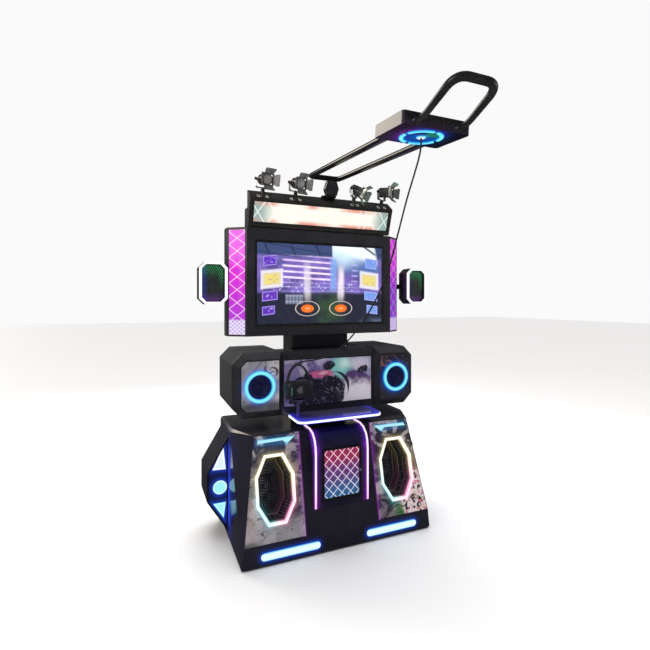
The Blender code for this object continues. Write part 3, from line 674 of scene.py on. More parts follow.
def tunnel_end_look(side, name):
    """The dark back of the tunnel, with dimmer and dimmer images of the lit frame."""
    look = Look(name, rough=0.08, specular=0.7)
    inner = -outside_window(look, side) - 0.030
    rings = (inner - 0.010).abs().fade(0.0022) * 0.07 + (inner - 0.030).abs().fade(0.0016) * 0.03
    u, s = (look.x / 0.0135).to_whole() / 0.5, (look.z / 0.0135).to_whole() / 0.5
    leftwards = (look.x - side * WINDOW_X).rise(0.06, -0.07) * slope_height(look).rise(0.12, 0.30)
    dots = (u * u + s * s).rise(0.22, 0.08) * leftwards * look.noise(30, 1.0).rise(0.35, 0.55)
    look.base((0.016, 0.016, 0.022))
    look.glow(window_tint(look, side, 0.15) * (rings + inner.fade(0.018) * 0.05)
              + look.colour((0.17, 0.18, 0.21)) * dots)
    return look.made


def window_frame_amount(look, side):
    beads = (slope_height(look) / 0.017).to_whole().rise(0.0, 0.5) * 0.10
    return (-outside_window(look, side) - 0.0085).abs().rise(0.003, 0.0095) * 0.85 + beads + 0.25


def printed_look(side, name):
    """Silver mirror film with pale shapes, flowing dark lines and, low down, scattered chips; darker towards
    the top as a painted dark reflection, with painted glow round the window, the arrows and the neon column.
    """
    look = Look(name, rough=0.18, metal=0.10, coat=0.4)
    s, u = slope_height(look), look.x * side
    cloud = look.noise(7.5, 5.0, 1.3, (1.0, 1.0, 1.3), 0.55)
    lines = (look.noise(5.0, 1.0, 1.6, (1.0, 1.0, 1.5)) * 11.0).to_whole().rise(0.060, 0.015)
    base = look.colour((0.035, 0.033, 0.045)).over(
        (0.21, 0.195, 0.20), cloud.rise(0.40, 0.49), (0.46, 0.42, 0.43), cloud.rise(0.52, 0.60))
    chips = look.tree.nodes.new("ShaderNodeTexVoronoi")
    chips.inputs["Scale"].default_value = 56
    feed(look.tree, chips.inputs["Vector"], look.place)
    crowd = (u + s * 0.42 + cloud * 0.12).rise(0.485, 0.525) * s.rise(0.29, 0.24)
    crowd = Value(look.tree, chips.outputs["Distance"]).rise(0.95, 0.80) * crowd
    if side < 0:
        # the dark navy towards the top, under the cloud, is a painted reflection of dark surroundings in the
        # mirror film
        base = base.over(
            (0.36, 0.27, 0.25), look.noise(9, 2.0, 0.3).rise(0.55, 0.60) * s.rise(0.46, 0.40),
            (0.40, 0.38, 0.41), s.rise(0.18, 0.06) * 0.75,
            (0.025, 0.03, 0.06), s.rise(0.40, 0.50) * cloud.rise(0.60, 0.50) * 0.85,
            (0.03, 0.03, 0.035), s.rise(0.05, 0.01) * u.rise(0.45, 0.60) * 0.8)
    else:
        pick = Colour(look.tree, chips.outputs["Color"]).dot(ACROSS)
        vivid = look.colour((0.82, 0.70, 0.72)).over(
            (0.62, 0.18, 0.26), pick.rise(0.46, 0.48), (0.045, 0.025, 0.03), pick.rise(0.60, 0.62),
            (0.70, 0.52, 0.42), pick.rise(0.80, 0.82))
        # the dark towards the top, under the cloud, is a painted reflection of dark surroundings in the
        # mirror film
        base = base.over(
            (0.022, 0.020, 0.032), s.rise(0.28, 0.44) * cloud.rise(0.62, 0.52) * 0.92,
            (0.42, 0.28, 0.18), u.rise(0.52, 0.58) * s.rise(0.18, 0.26) * s.rise(0.46, 0.36) * 0.8,
            (0.04, 0.20, 0.05), u.rise(0.34, 0.42) * s.rise(0.10, 0.06) * 0.9,
            vivid, crowd * 0.95)
    base = base.over((0.02, 0.02, 0.03), lines * 0.75, (0.02, 0.02, 0.025),
                     (u.rise(0.249, 0.247) + s.rise(0.011, 0.008)).clamp())
    look.base(base)
    arrow = look.segment_distance((0.330, 0.119, 0.665), (0.500, 0.121, 0.671))
    halo = (window_tint(look, side, 0.10) * (outside_window(look, side).fade(0.010) * 0.35)
            + look.colour((0.03, 0.26, 0.62)) * ((arrow - 0.018).fade(0.009) * 0.28))
    # painted glow: purple light from the neon column beside the panel, and a faint glow of the print itself,
    # more where the chips are
    column = look.colour((0.30, 0.03, 0.42)) * ((u - 0.243).fade(0.016) * 0.5)
    look.glow(halo + column + base * (crowd * 0.14 + 0.10))
    look.bump(look.noise(9.0, 1.0), 0.0012, 0.12)
    return look.made


clad("base_carcass", gloss_black("base_gloss", (KICK, POD), (0.030, 0.028, 0.044), 0.18, 0.32), 0.0022)
clad("center_column", gloss_black("column_gloss", (NEON, NEON_TOP, SHELF), (0.022, 0.020, 0.046)))
neon = neon_look()
kick_light = diffuser("kick_diffuser", (0.008, 0.04, 0.072), (0.80, 0.97, 1.0), (0.10, 0.50, 0.90),
                      kick_light_amount, 1.1)
arrow = diffuser("arrow_diffuser", (0.03, 0.06, 0.07), (0.45, 0.85, 0.95), (0.14, 0.60, 0.88),
                 lambda look: ((slope_height(look) - 0.5605).abs() / 0.018).rise(0.3, 1.1))
for word, side in SIDES:
    repaint(word + "_neon_strip", neon)
    repaint(word + "_kick_light", kick_light)
    repaint(word + "_art_panel", printed_look(side, word + "_mirror_print"))
    repaint(word + "_arrow_light", arrow)
    outline = [(side * (WINDOW_X + x), s) for x, s in WINDOW_HALF]
    outline += [(side * (WINDOW_X - x), s) for x, s in reversed(WINDOW_HALF)]
    bm = bmesh.new()
    add_cup(bm, outline, WINDOW_WALLS, SLOPE)
    to_object(bm, word + "_light_tunnel", [tunnel_look(side, word + "_tunnel_wall"),
                                           tunnel_end_look(side, word + "_tunnel_back")],
              replaces=word + "_light_window", angle=20)
    look = Look(word + "_window_diffuser", rough=0.3)
    look.base((0.08, 0.08, 0.08))
    look.glow(look.colour((1, 1, 1)).over(window_tint(look, side), window_frame_amount(look, side)), 1.15)
    bm = bmesh.new()
    add_ring(bm, stations(outline, WINDOW_FRAME, SLOPE))
    to_object(bm, word + "_window_frame", look.made, angle=60)


def door_look():
    """A white diamond lattice over crimson, purple and blue, inside a black border."""
    look = Look("door_print", rough=0.22, coat=0.5)
    u, v = look.x / 0.0585, (look.z - 0.4535) / 0.0615
    cross = (u + v).to_whole().least((u - v).to_whole())
    line, shine = cross.rise(0.052, 0.022), cross.rise(0.30, 0.05)
    border = (look.x.abs() - 0.116).rise(0.0, 0.0012)
    border = border.most(((look.z - 0.4535).abs() - 0.143).rise(0.0, 0.0012))
    base = look.colour((0.30, 0.020, 0.075)).over(
        (0.115, 0.035, 0.17), look.z.rise(0.56, 0.46), (0.025, 0.115, 0.26), look.z.rise(0.46, 0.33),
        (0.02, 0.012, 0.03), (1.0 - shine) * 0.35, (0.80, 0.74, 0.82), line * 0.9,
        (0.010, 0.010, 0.012), border)
    look.base(base)
    look.glow(base * (1.0 - border), 0.75)
    look.bump(line, 0.0006, 0.5)
    return look.made


clad("service_door", door_look(), 0.0012, "service_door_body")
bm = bmesh.new()
add_lathe(bm, ((0.0105, 0.001), (0.0105, -0.0022), (0.009, -0.0032), (0.006, -0.0032),
               (0.0055, -0.0020), (0, -0.0020)), (0.1225, 0.0285, 0.450), count=32)
add_box(bm, (0.1218, 0.1232), (0.0262, 0.0272), (0.446, 0.454), 0.0002, material=1)
to_object(bm, "service_lock", [STEEL, MATT], "service_door_body")
bm = bmesh.new()
for z in (0.330, 0.450, 0.570):
    add_lathe(bm, slug(0.0014, -0.015, 0.015), (-0.132, 0.028, z), "Z", 24)
to_object(bm, "service_door_hinge_pins", SATIN, "service_door_body")


# ---------------------------------------------------------------- side pods
def pod_look():
    """Three lit signs, a triangle, a disc and a triangle, behind smoked acrylic."""
    look = Look("pod_diffuser", rough=0.12, specular=0.6)
    u = look.x.abs()
    disc = far(u - 0.681, look.z - 0.330) - 0.043
    nearest = disc
    for a, b, c in (((0.660, 0.585), (0.645, 0.440), (0.728, 0.444)),
                    ((0.723, 0.232), (0.645, 0.232), (0.658, 0.135))):
        middle = (Vector(a) + Vector(b) + Vector(c)) / 3
        nearest = nearest.least(outside(u, look.z, (a, b, c, a), middle))
    lit = look.colour((0.45, 0.95, 1.05)).over(
        (0.95, 0.93, 1.10), look.z.rise(0.38, 0.45),
        (0.10, 0.50, 1.0), nearest.rise(-0.002, -0.016) * 0.35,
        (0.9, 1.0, 1.0), disc.abs().rise(0.010, 0.003) * disc.rise(0.01, -0.01) * 0.6)
    look.base((0.01, 0.012, 0.03))
    halo = look.colour((0.01, 0.05, 0.45)) * nearest.fade(0.014)
    look.glow(halo.over(lit, nearest.rise(0.0012, -0.0012)), 1.15)
    return look.made


pod_gloss, pod_light = gloss_black("pod_gloss"), pod_look()
for word, side in SIDES:
    clad(word + "_side_pod", pod_gloss)
    repaint(word + "_pod_window", pod_light)


# ---------------------------------------------------------------- back of the base
def computer_look():
    look = Look("computer_case", rough=0.4, metal=0.6)
    look.worn((0.05, 0.05, 0.055), 0.3, 0.4, 0.15, 30)
    holes = ((look.x / 0.008).to_whole() ** 2.0 + (look.z / 0.008).to_whole() ** 2.0).rise(0.10, 0.07)
    holes = holes * (look.x - 0.27).abs().rise(0.072, 0.070) * (look.z - 0.15).abs().rise(0.052, 0.050)
    look.base(look.colour((0.075, 0.073, 0.078)).over((0.004, 0.004, 0.004), holes))
    look.bump(-holes, 0.001, 0.6)
    return look.made


clad("rear_door", plain_look("rear_sheet", (0.016, 0.016, 0.018), 0.42, 0.1, 0.6, 18, 0.3),
     body="rear_door_body")
bm = bmesh.new()
for column in (-0.24, 0.24):
    add_louvres(bm, 9, 0.430, 0.020, column, 0.12,
                ((0.6640, -0.006), (0.6648, 0.006), (0.6690, -0.001), (0.6685, -0.006)))
to_object(bm, "rear_door_louvres", SATIN, "rear_door_body")
bm = bmesh.new()
add_lathe(bm, ((0.013, -0.001), (0.013, 0.002), (0.0115, 0.0035), (0.006, 0.0035), (0.0055, 0.002),
               (0, 0.002)), (0.405, 0.6645, 0.36), count=32)
add_box(bm, (0.345, 0.365), (0.664, 0.6695), (0.31, 0.41), 0.002, material=1)
to_object(bm, "rear_door_lock", [STEEL, MATT], "rear_door_body")
clad("computer", computer_look())
bm = bmesh.new()
for i, (x, width) in enumerate(((0.055, 0.014), (0.080, 0.014), (0.108, 0.020), (0.140, 0.026))):
    add_box(bm, (x, x + width), (0.5495, 0.5525), (0.08, 0.09 + 0.004 * (i % 2)), 0.0006)
add_box(bm, (0.05, 0.11), (0.5495, 0.5530), (0.175, 0.215), 0.001)
to_object(bm, "computer_sockets", STEEL)
for name in ("front_left_foot", "front_right_foot", "rear_left_foot", "rear_right_foot"):
    repaint(name, MATT)

# ---------------------------------------------------------------- speakers
RING_X, RING_Z = 0.478, 0.986
SPEAKER_FRONT = 0.178
DRIVER = ((0, 0.250), (0.045, 0.250), (0.045, 0.226), (0.060, 0.214), (0.071, 0.188), (0.0715, 0.1750),
          (0.0690, 0.1745), (0.0675, 0.1760), (0.0640, 0.1732), (0.0600, 0.1725), (0.0560, 0.1735),
          (0.0530, 0.1775), (0.0480, 0.1850), (0.0340, 0.1960), (0.0225, 0.2020), (0.0220, 0.1975),
          (0.0170, 0.1925), (0.0100, 0.1895), (0, 0.1885))
RING_SECTION = ((0.0735, -0.0006), (0.0735, -0.0075), (0.0760, -0.0098), (0.0950, -0.0098),
                (0.0978, -0.0072), (0.0978, -0.0006))


def polar(look, side, x, z):
    """Radius from a point on one side and the turn about it, 0 to 1."""
    dx, dz = look.x - side * x, look.z - z
    return far(dx, dz), dz.math("ARCTAN2", dx) / (2 * math.pi) + 0.5


def speaker_panel_look(side, name):
    """Silver film with a scrolling ornament, darker low down, and the ring's blue light."""
    look = Look(name, rough=0.26, metal=0.10, coat=0.3)
    u = look.x * side
    radius, turn = polar(look, side, 0.408, 1.082)
    scroll = (turn * 2.0 + (radius + 0.004).math("LOGARITHM", math.e) * 0.62).to_whole()
    scroll = scroll.rise(0.20, 0.12) * radius.rise(0.052, 0.046)
    sweep = ((u - 0.50) * 1.1 + (look.z - 1.10)).abs().rise(0.006, 0.003) * look.z.rise(1.07, 1.09)
    curls = (look.noise(17, 0.5, 1.4) * 5.0).to_whole().rise(0.07, 0.03) * u.rise(0.47, 0.43)
    marks = scroll.most(curls * look.z.rise(1.03, 1.06)).most(sweep * 0.8)
    cloud = look.noise(7, 3.0)
    if side < 0:
        base = look.colour((0.34, 0.33, 0.37)).over((0.74, 0.73, 0.78), cloud.rise(0.35, 0.6))
        ink, weight = (0.12, 0.055, 0.06), 0.9
    else:
        base = look.colour((0.024, 0.023, 0.032)).over((0.050, 0.046, 0.062), cloud.rise(0.4, 0.65))
        ink, weight = (0.34, 0.15, 0.15), 0.6
    look.base(base.over((0.035, 0.035, 0.042), look.z.rise(0.92, 0.87) * 0.85, ink, marks * weight))
    look.glow(look.spill((RING,)))
    look.bump(look.noise(5, 1.0), 0.001, 0.1)
    return look.made


def cone_look(name, side):
    """A woven navy cone with tiny painted glints, a painted blue glow from the ring round its rim and a faint
    painted blue glow all over.
    """
    look = Look(name, rough=0.6, specular=0.2)
    radius, turn = polar(look, side, RING_X, RING_Z)
    weave = (turn * 72.0 + radius * 260.0).to_whole() * (turn * 72.0 - radius * 260.0).to_whole()
    look.base(look.colour((0.003, 0.003, 0.016)).over((0.009, 0.010, 0.040), weave * 3.0))
    # painted light: blue glow from the ring near the rim, painted glints and a faint blue glow over the whole
    # cone
    look.glow(look.colour((0.0, 0.015, 0.16)) * (0.074 - radius).fade(0.005)
              + look.colour((0.20, 0.24, 0.50)) * (look.noise(420, 1.0).rise(0.66, 0.74) * 0.6)
              + look.colour((0.002, 0.002, 0.018)))
    look.bump(weave, 0.0006, 0.5)
    return look.made


def ring_amount(look, side):
    radius, turn = polar(look, side, RING_X, RING_Z)
    beads = (turn * 48.0).to_whole().rise(0.0, 0.5) * 0.15
    return (((radius - 0.0855).abs() / 0.0125).rise(0.45, 1.05) + beads * 0.5).clamp()


for word, side in SIDES:
    clad(word + "_speaker_box",
         gloss_black(word + "_speaker_gloss", (RING,), (0.034, 0.033, 0.038), top_sheen=0.30), 0.003)
    repaint(word + "_speaker_panel", speaker_panel_look(side, word + "_speaker_film"))
    bm = bmesh.new()
    add_lathe(bm, DRIVER, (side * RING_X, 0, RING_Z), count=64)
    to_object(bm, word + "_driver", cone_look(word + "_cone", side), replaces=word + "_speaker",
              angle=50)
    bm = bmesh.new()
    add_ring(bm, [[at(side * RING_X + a, SPEAKER_FRONT + d, RING_Z + b) for a, b in circle(r, 72)]
                  for r, d in RING_SECTION])
    ring = diffuser(word + "_ring_diffuser", (0.02, 0.05, 0.06), (0.24, 0.86, 0.93), (0.0, 0.30, 0.75),
                    lambda look: ring_amount(look, side), rough=0.25)
    to_object(bm, word + "_ring_lens", ring, replaces=word + "_speaker_ring", angle=50)
    bm = bmesh.new()
    for x, z in ((0.378, 0.852), (0.378, 1.128), (0.538, 0.852), (0.538, 1.128), (0.578, 0.905),
                 (0.578, 1.075)):
        add_screw(bm, at(side * x, SPEAKER_FRONT, z), FORWARD, 0.0042)
    to_object(bm, word + "_speaker_screws", SCREW)


# ---------------------------------------------------------------- console, spine and shelf
def arc_mark(look, x, z, radius, width, start, stop):
    """A crescent stroke about a point: its turn runs from start to stop, 0 to 1."""
    distance, turn = polar(look, 1, x, z)
    thin = (distance - radius).abs() - (turn - (start + stop) / 2).abs().rise((stop - start) / 2, 0.0) * width
    return thin.rise(0.0015, -0.0015)


def poster_look():
    """A purple, mint and rose haze, a pale round hill and dark ragged masses, in a black border."""
    look = Look("console_print", rough=0.24, coat=0.2)
    u, v = look.x, look.z - 0.985
    warp = look.noise(7.0, 4.0, 0.6) - 0.5
    fray = look.noise(24, 4.0, 0.9) - 0.5

    def patch(middle_u, middle_v, half_u, half_v, ragged=0.8, soft=0.08):
        du = (u - middle_u + warp * 0.10) / half_u
        dv = (v - middle_v - warp * 0.08) / half_v
        return (far(du, dv) + fray * ragged).rise(1.0 + soft, 1.0 - soft)

    cloud = look.noise(10, 5.0, 0.4)
    base = look.colour((0.10, 0.075, 0.22)).over((0.25, 0.20, 0.42), look.noise(6, 3.0).rise(0.4, 0.6))
    base = base.over((0.46, 0.42, 0.55), cloud.rise(0.50, 0.62) * v.rise(0.0, 0.06) * 0.8)
    base = base.over((0.20, 0.50, 0.48), patch(0.09, 0.085, 0.085, 0.075, 0.3, 0.4))
    base = base.over((0.62, 0.78, 0.75), patch(0.12, 0.10, 0.04, 0.03, 0.3, 0.9) * 0.8)
    base = base.over((0.56, 0.52, 0.62), patch(0.24, 0.10, 0.075, 0.045, 0.5, 0.5) * 0.8)
    base = base.over((0.58, 0.10, 0.24), patch(-0.06, 0.045, 0.085, 0.028, 1.1, 0.2) * 0.9)
    base = base.over((0.70, 0.45, 0.55), patch(-0.05, 0.055, 0.035, 0.010, 1.0, 0.4) * 0.7)
    hill = patch(0.20, -0.11, 0.155, 0.155, 0.15, 0.05)
    flank = look.colour((0.09, 0.045, 0.15)).over((0.80, 0.74, 0.82), (v + fray * 0.10).rise(0.02, -0.075))
    base = base.over((0.0, 0.0, 0.0), hill)
    base = base + flank * hill
    dark = patch(0.020, -0.070, 0.088, 0.105, 0.45, 0.05).most(patch(0.0, 0.10, 0.046, 0.030, 0.5, 0.05))
    dark = dark.most(patch(-0.19, -0.055, 0.115, 0.110, 0.9, 0.05))
    dark = dark.most(patch(0.25, 0.055, 0.034, 0.034, 0.7, 0.05))
    dark = dark.most(patch(-0.08, -0.07, 0.050, 0.09, 0.8, 0.05))
    base = base.over((0.010, 0.010, 0.020), dark * 0.97)
    shine = look.noise(34, 4.0, 1.2).rise(0.58, 0.66) * dark
    base = base.over((0.24, 0.21, 0.30), shine * 0.55)
    strokes = arc_mark(look, -0.16, 1.01, 0.080, 0.008, 0.05, 0.60)
    strokes = strokes.most(arc_mark(look, 0.03, 0.93, 0.110, 0.012, 0.40, 0.78))
    base = base.over((0.010, 0.009, 0.016), strokes * 0.95)
    border = (u.abs() - 0.313).rise(0.0, 0.0015).most((v.abs() - 0.147).rise(0.0, 0.0015))
    border = border.most(look.y.rise(0.2236, 0.2240))
    look.base(base.over((0.028, 0.027, 0.031), border))
    look.glow(look.spill((SHELF,)) * 0.6 + base * ((1.0 - border) * 0.16))
    return look.made


clad("console_center", poster_look())
bm = bmesh.new()
add_ring(bm, stations(rectangle(0.3165, 0.8345, 1.1355), (
    (0.0, 0.2228), (0.0, 0.2205), (0.0006, 0.2200), (0.0042, 0.2200), (0.0050, 0.2210),
    (0.0050, 0.2228)), HERE))
for x in (-0.322, 0.322):
    for z in (0.812, 1.158):
        add_screw(bm, at(x, 0.223, z), FORWARD, 0.0035)
to_object(bm, "poster_frame", plain_look("frame_black", (0.012, 0.012, 0.013), 0.25))
clad("spine", gloss_black("spine_gloss", (), (0.030, 0.030, 0.040)))
clad("shelf", gloss_black("shelf_gloss", (SHELF, SHELF_END), (0.085, 0.075, 0.14), 0.14), 0.0018)
repaint("shelf_light", diffuser(
    "shelf_diffuser", (0.05, 0.06, 0.10), (1.0, 1.0, 1.0), (0.22, 0.30, 1.0),
    lambda look: (((look.z - 0.7845).abs() / 0.0065).rise(0.70, 1.15)
                  + (look.x / 0.0166).to_whole().rise(0.1, 0.5) * 0.16).clamp(), 1.35))

# ---------------------------------------------------------------- headset
HEAD_X, HEAD_Y, HEAD_Z = -0.255, 0.118, 0.967


def rounded_loop(half_width, half_height, radius, y, matrix, count=6):
    loop = []
    for cx, cz, start in ((1, 1, 0), (-1, 1, 90), (-1, -1, 180), (1, -1, 270)):
        for i in range(count):
            t = math.radians(start + 90 * i / (count - 1))
            loop.append(matrix @ Vector((cx * (half_width - radius) + radius * math.cos(t), y,
                                         cz * (half_height - radius) + radius * math.sin(t))))
    return loop


def visor_look():
    """Grained black shell with a painted grey highlight wedge on its face and a painted pale blue reflection
    at its left.
    """
    look = Look("visor_shell", rough=0.38)
    look.worn((0.014, 0.015, 0.018), 0.5, 0.36, 0.12, 30)
    u, v = look.x - HEAD_X, look.z - HEAD_Z
    # painted highlight: a grey wedge on the front of the shell
    wedge_highlight = (v - 0.004).abs().rise(0.022, 0.020) * (u + 0.030 - (v - 0.004).abs() * 0.9).rise(0.0, 0.0015)
    wedge_highlight = wedge_highlight * (u - 0.010).rise(0.0015, 0.0)
    front = look.y.rise(0.075, 0.073)
    seam = (look.y - 0.090).abs().rise(0.0009, 0.0004)
    base = look.colour((0.014, 0.015, 0.018)).over((0.085, 0.085, 0.095), wedge_highlight * front)
    look.base(base.over((0.002, 0.002, 0.002), seam))
    # painted reflection: a faint teal glow in a bar at the left of the shell's face
    bar = (u + 0.058).abs().rise(0.0035, 0.0025) * v.abs().rise(0.026, 0.024) * front
    look.glow(look.colour((0.05, 0.14, 0.16)) * bar)
    look.bump(look.noise(500, 2.0) - seam, 0.0004, 0.35)
    return look.made


HEAD = HERE @ Matrix.Translation((HEAD_X, HEAD_Y, HEAD_Z))
bm = bmesh.new()
add_loft(bm, [rounded_loop(w, h, r, y, HEAD) for w, h, r, y in
              ((0.050, 0.026, 0.014, -0.052), (0.060, 0.034, 0.018, -0.0515), (0.070, 0.042, 0.021, -0.048),
               (0.078, 0.048, 0.023, -0.041), (0.082, 0.052, 0.024, -0.031), (0.084, 0.054, 0.024, -0.012),
               (0.084, 0.054, 0.024, 0.014), (0.080, 0.051, 0.023, 0.021), (0.074, 0.046, 0.021, 0.023))])
to_object(bm, "headset_visor", visor_look(), replaces="headset", angle=50)
bm = bmesh.new()
add_loft(bm, [rounded_loop(w, h, r, y, HEAD) for w, h, r, y in
              ((0.0740, 0.0460, 0.021, 0.0232), (0.0765, 0.0485, 0.022, 0.027),
           (0.0765, 0.0485, 0.022, 0.033),
               (0.0730, 0.0455, 0.021, 0.0385), (0.066, 0.039, 0.018, 0.0385), (0.062, 0.035, 0.016, 0.034),
               (0.058, 0.031, 0.015, 0.0285))])
to_object(bm, "headset_face_foam", FOAM, angle=70)
strap_path = [(0.0700 * math.cos(math.pi * i / 36), 0.018 + 0.131 * math.sin(math.pi * i / 36))
              for i in range(37)]
bm = bmesh.new()
add_strip(bm, strap_path, 0.0075, (-0.012, 0.016), HEAD)
round_edges(bm, 0.0018, 40)
strap_look = Look("strap_weave", rough=0.8)
ribs = (strap_look.y / 0.0035).to_whole()
strap_look.base(strap_look.colour((0.012, 0.012, 0.014)).over((0.035, 0.035, 0.040), ribs * 1.2))
strap_look.bump(ribs + strap_look.noise(300, 2.0) * 0.4, 0.0008, 0.7)
to_object(bm, "headset_strap", strap_look.made, angle=40)
bm = bmesh.new()
for side in (-1, 1):
    add_box(bm, sorted((side * 0.0795, side * 0.0880)), (-0.016, 0.020), (-0.020, 0.040), 0.0035, HEAD)
    add_lathe(bm, ((0, -0.0015), (0.0115, -0.0015), (0.0125, 0.0), (0.0125, 0.0035), (0.0105, 0.005),
                   (0, 0.005)), (0.0865, 0.002, 0.018), "X", 28,
              matrix=HEAD @ Matrix.Diagonal((side, 1, 1, 1)))
add_box(bm, (-0.017, 0.017), (-0.015, 0.019), (0.1415, 0.1570), 0.003, HEAD)
add_lathe(bm, ((0, 0.155), (0.0085, 0.155), (0.0080, 0.1585), (0.0052, 0.1615), (0, 0.1615)),
          (0, 0, 0), "Z", 24, matrix=HEAD)
to_object(bm, "headset_fittings", plain_look("visor_fittings", (0.030, 0.031, 0.035), 0.35))

# ---------------------------------------------------------------- monitor
SCREEN_X, SCREEN_LOW, SCREEN_HIGH = 0.465, 1.350, 1.890


def screen_look():
    """A dance hall: a bright skylight, neon bars, beams of light and two lit discs."""
    look = Look("display_picture", rough=0.10, coat=0.2)
    u = look.x / SCREEN_X
    v = (look.z - SCREEN_LOW) / (SCREEN_HIGH - SCREEN_LOW)
    cloud = look.noise(9, 3.0)
    base = look.colour((0.05, 0.04, 0.16)).over((0.05, 0.075, 0.19), v.rise(0.70, 0.82))
    ribs = (u * 2.6 + v * 1.3).to_whole().rise(0.06, 0.02).most((v * 9.0 + u).to_whole().rise(0.08, 0.03))
    base = base.over((0.02, 0.03, 0.09), ribs * v.rise(0.76, 0.80) * 0.8)
    pane = (u - 0.14).rise(0.0, 0.03) * v.rise(0.56, 0.70) * (u + v * 0.3).rise(1.18, 1.12)
    base = base.over((0.10, 0.18, 0.44), pane)
    base = base.over((0.66, 0.86, 1.0), pane * (v + (u - 0.35).abs() * -0.30).rise(0.62, 0.86))
    base = base.over((0.90, 0.97, 1.0), pane * (v + u * 0.22).rise(0.93, 1.02))
    struts = (u * 0.75 + v * 1.5).to_whole().rise(0.035, 0.015)
    base = base.over((0.03, 0.04, 0.10), struts * pane * v.rise(0.72, 0.76) * 0.85)
    hall = v.rise(0.36, 0.40) * v.rise(0.86, 0.82) * (1.0 - pane)
    base = base.over((0.30, 0.20, 0.72), hall * (0.22 + cloud.rise(0.35, 0.62) * 0.5))
    bars = ((v + u * 0.035) / 0.070).to_whole().rise(0.24, 0.08) * v.rise(0.50, 0.55) * v.rise(0.86, 0.82)
    bars = bars * (u + 0.02).abs().rise(0.62, 0.56)
    base = base.over((0.80, 0.60, 1.0), bars * u.rise(0.20, 0.12))
    base = base.over((0.90, 0.78, 1.0), bars * look.noise(14, 2.0).rise(0.48, 0.58) * u.rise(0.20, 0.12))
    base = base.over((0.55, 0.50, 0.95), bars * u.rise(0.45, 0.50) * 0.7)
    rails = ((v - 0.41) / 0.05).to_whole().rise(0.12, 0.05) * v.rise(0.38, 0.40) * v.rise(0.54, 0.50)
    base = base.over((0.45, 0.50, 0.85), rails * (u + 0.05).abs().rise(0.62, 0.58) * 0.55)
    glints = look.noise(48, 2.0).rise(0.60, 0.68) * v.rise(0.38, 0.42) * v.rise(0.60, 0.50)
    base = base.over((0.80, 0.85, 1.0), glints * 0.8)
    column = (u - 0.17).abs().rise(0.055, 0.045) * v.rise(0.40, 0.44) * v.rise(0.84, 0.80)
    base = base.over((0.22, 0.40, 0.85), column * 0.75)
    floor = v.rise(0.41, 0.36)
    base = base.over((0.018, 0.020, 0.040), floor)
    meadow = (u - 0.10).abs().rise(0.34, 0.05) * v.rise(0.46, 0.30) * cloud.rise(0.30, 0.60)
    base = base.over((0.040, 0.085, 0.035), meadow * 0.9)
    base = base.over((0.10, 0.14, 0.22),
                     floor * u.rise(0.55, 0.70) * v.rise(0.10, 0.02) * cloud.rise(0.40, 0.6))
    grid = (u / (v + 0.55) * 4.0).to_whole().rise(0.03, 0.012) * v.rise(0.34, 0.24)
    base = base.over((0.05, 0.07, 0.10), grid * 0.5)
    side_boxes = ((0.71, 0.84, (0.13, 0.035, 0.52), 0.80, 0.10),
                  (0.48, 0.63, (0.85, 0.70, 0.22), 0.77, 0.125),
                  (0.29, 0.41, (0.14, 0.035, 0.50), 0.80, 0.115),
                  (0.12, 0.23, (0.12, 0.03, 0.46), 0.82, 0.095))
    for low, high, colour, middle_u, half_u in side_boxes:
        yellow = colour[1] > 0.5
        middle, half = (low + high) / 2, (high - low) / 2
        skew = v - middle + (u.abs() - middle_u) * 0.10
        box = (skew.abs() - half).most((u.abs() - middle_u).abs() - half_u)
        if yellow:
            base = base.over((0.92, 0.90, 0.95), box.rise(0.050, 0.020) * 0.85)
        body = look.colour(colour).over((0.20, 0.42, 0.90), u.rise(-0.1, 0.1) * (0.0 if yellow else 0.75))
        base = base.over(body, box.rise(0.004, -0.004))
        base = base.over((0.60, 0.58, 0.95), (box + 0.010).abs().rise(0.008, 0.003) * 0.5)
        figure = look.noise(60, 3.0).rise(0.58, 0.64) * box.rise(-0.02, -0.03)
        base = base.over((0.30, 0.22, 0.30) if yellow else (0.62, 0.62, 0.95), figure * 0.6)
    stage = (v - 0.31).abs().rise(0.065, 0.055) * (u + 0.44).abs().rise(0.14, 0.13)
    bays = (u / 0.050).to_whole().rise(0.12, 0.05).most((v / 0.07).to_whole().rise(0.10, 0.05))
    base = base.over((0.42, 0.46, 0.62), stage * (0.30 + bays * 0.6))
    for x, warm in ((-0.24, (0.92, 0.88, 0.85)), (0.29, (0.98, 0.90, 0.93))):
        du, dv = u - x, (v - 0.195) * 2.0
        distance = far(du, dv)
        base = base.over((0.95, 0.18, 0.02), distance.rise(0.104, 0.094))
        base = base.over((1.0, 0.50, 0.16), distance.rise(0.06, 0.01) * 0.6)
        base = base.over((0.80, 0.66, 0.62), (distance - 0.182).abs().rise(0.010, 0.004) * 0.9)
        beam = du.abs().rise(0.075, 0.020) * v.rise(0.24, 0.40) * v.rise(0.82, 0.62)
        streaks = look.noise(20, 2.0, 0.0, (1.0, 1.0, 0.25)).rise(0.4, 0.6)
        base = base.over(warm, beam * (0.55 + streaks * 0.3))
        glow = du.abs().fade(0.09) * v.rise(0.25, 0.45) * v.rise(0.85, 0.60)
        base = base + look.colour((0.20, 0.14, 0.26)) * (glow * 0.35)
    scan = (look.z / 0.0021).to_whole().rise(0.0, 0.5) * 0.10
    face = look.y.rise(0.3305, 0.3301)
    look.base((0.01, 0.01, 0.012))
    look.glow(base * ((1.0 - scan) * face), 1.15)
    return look.made


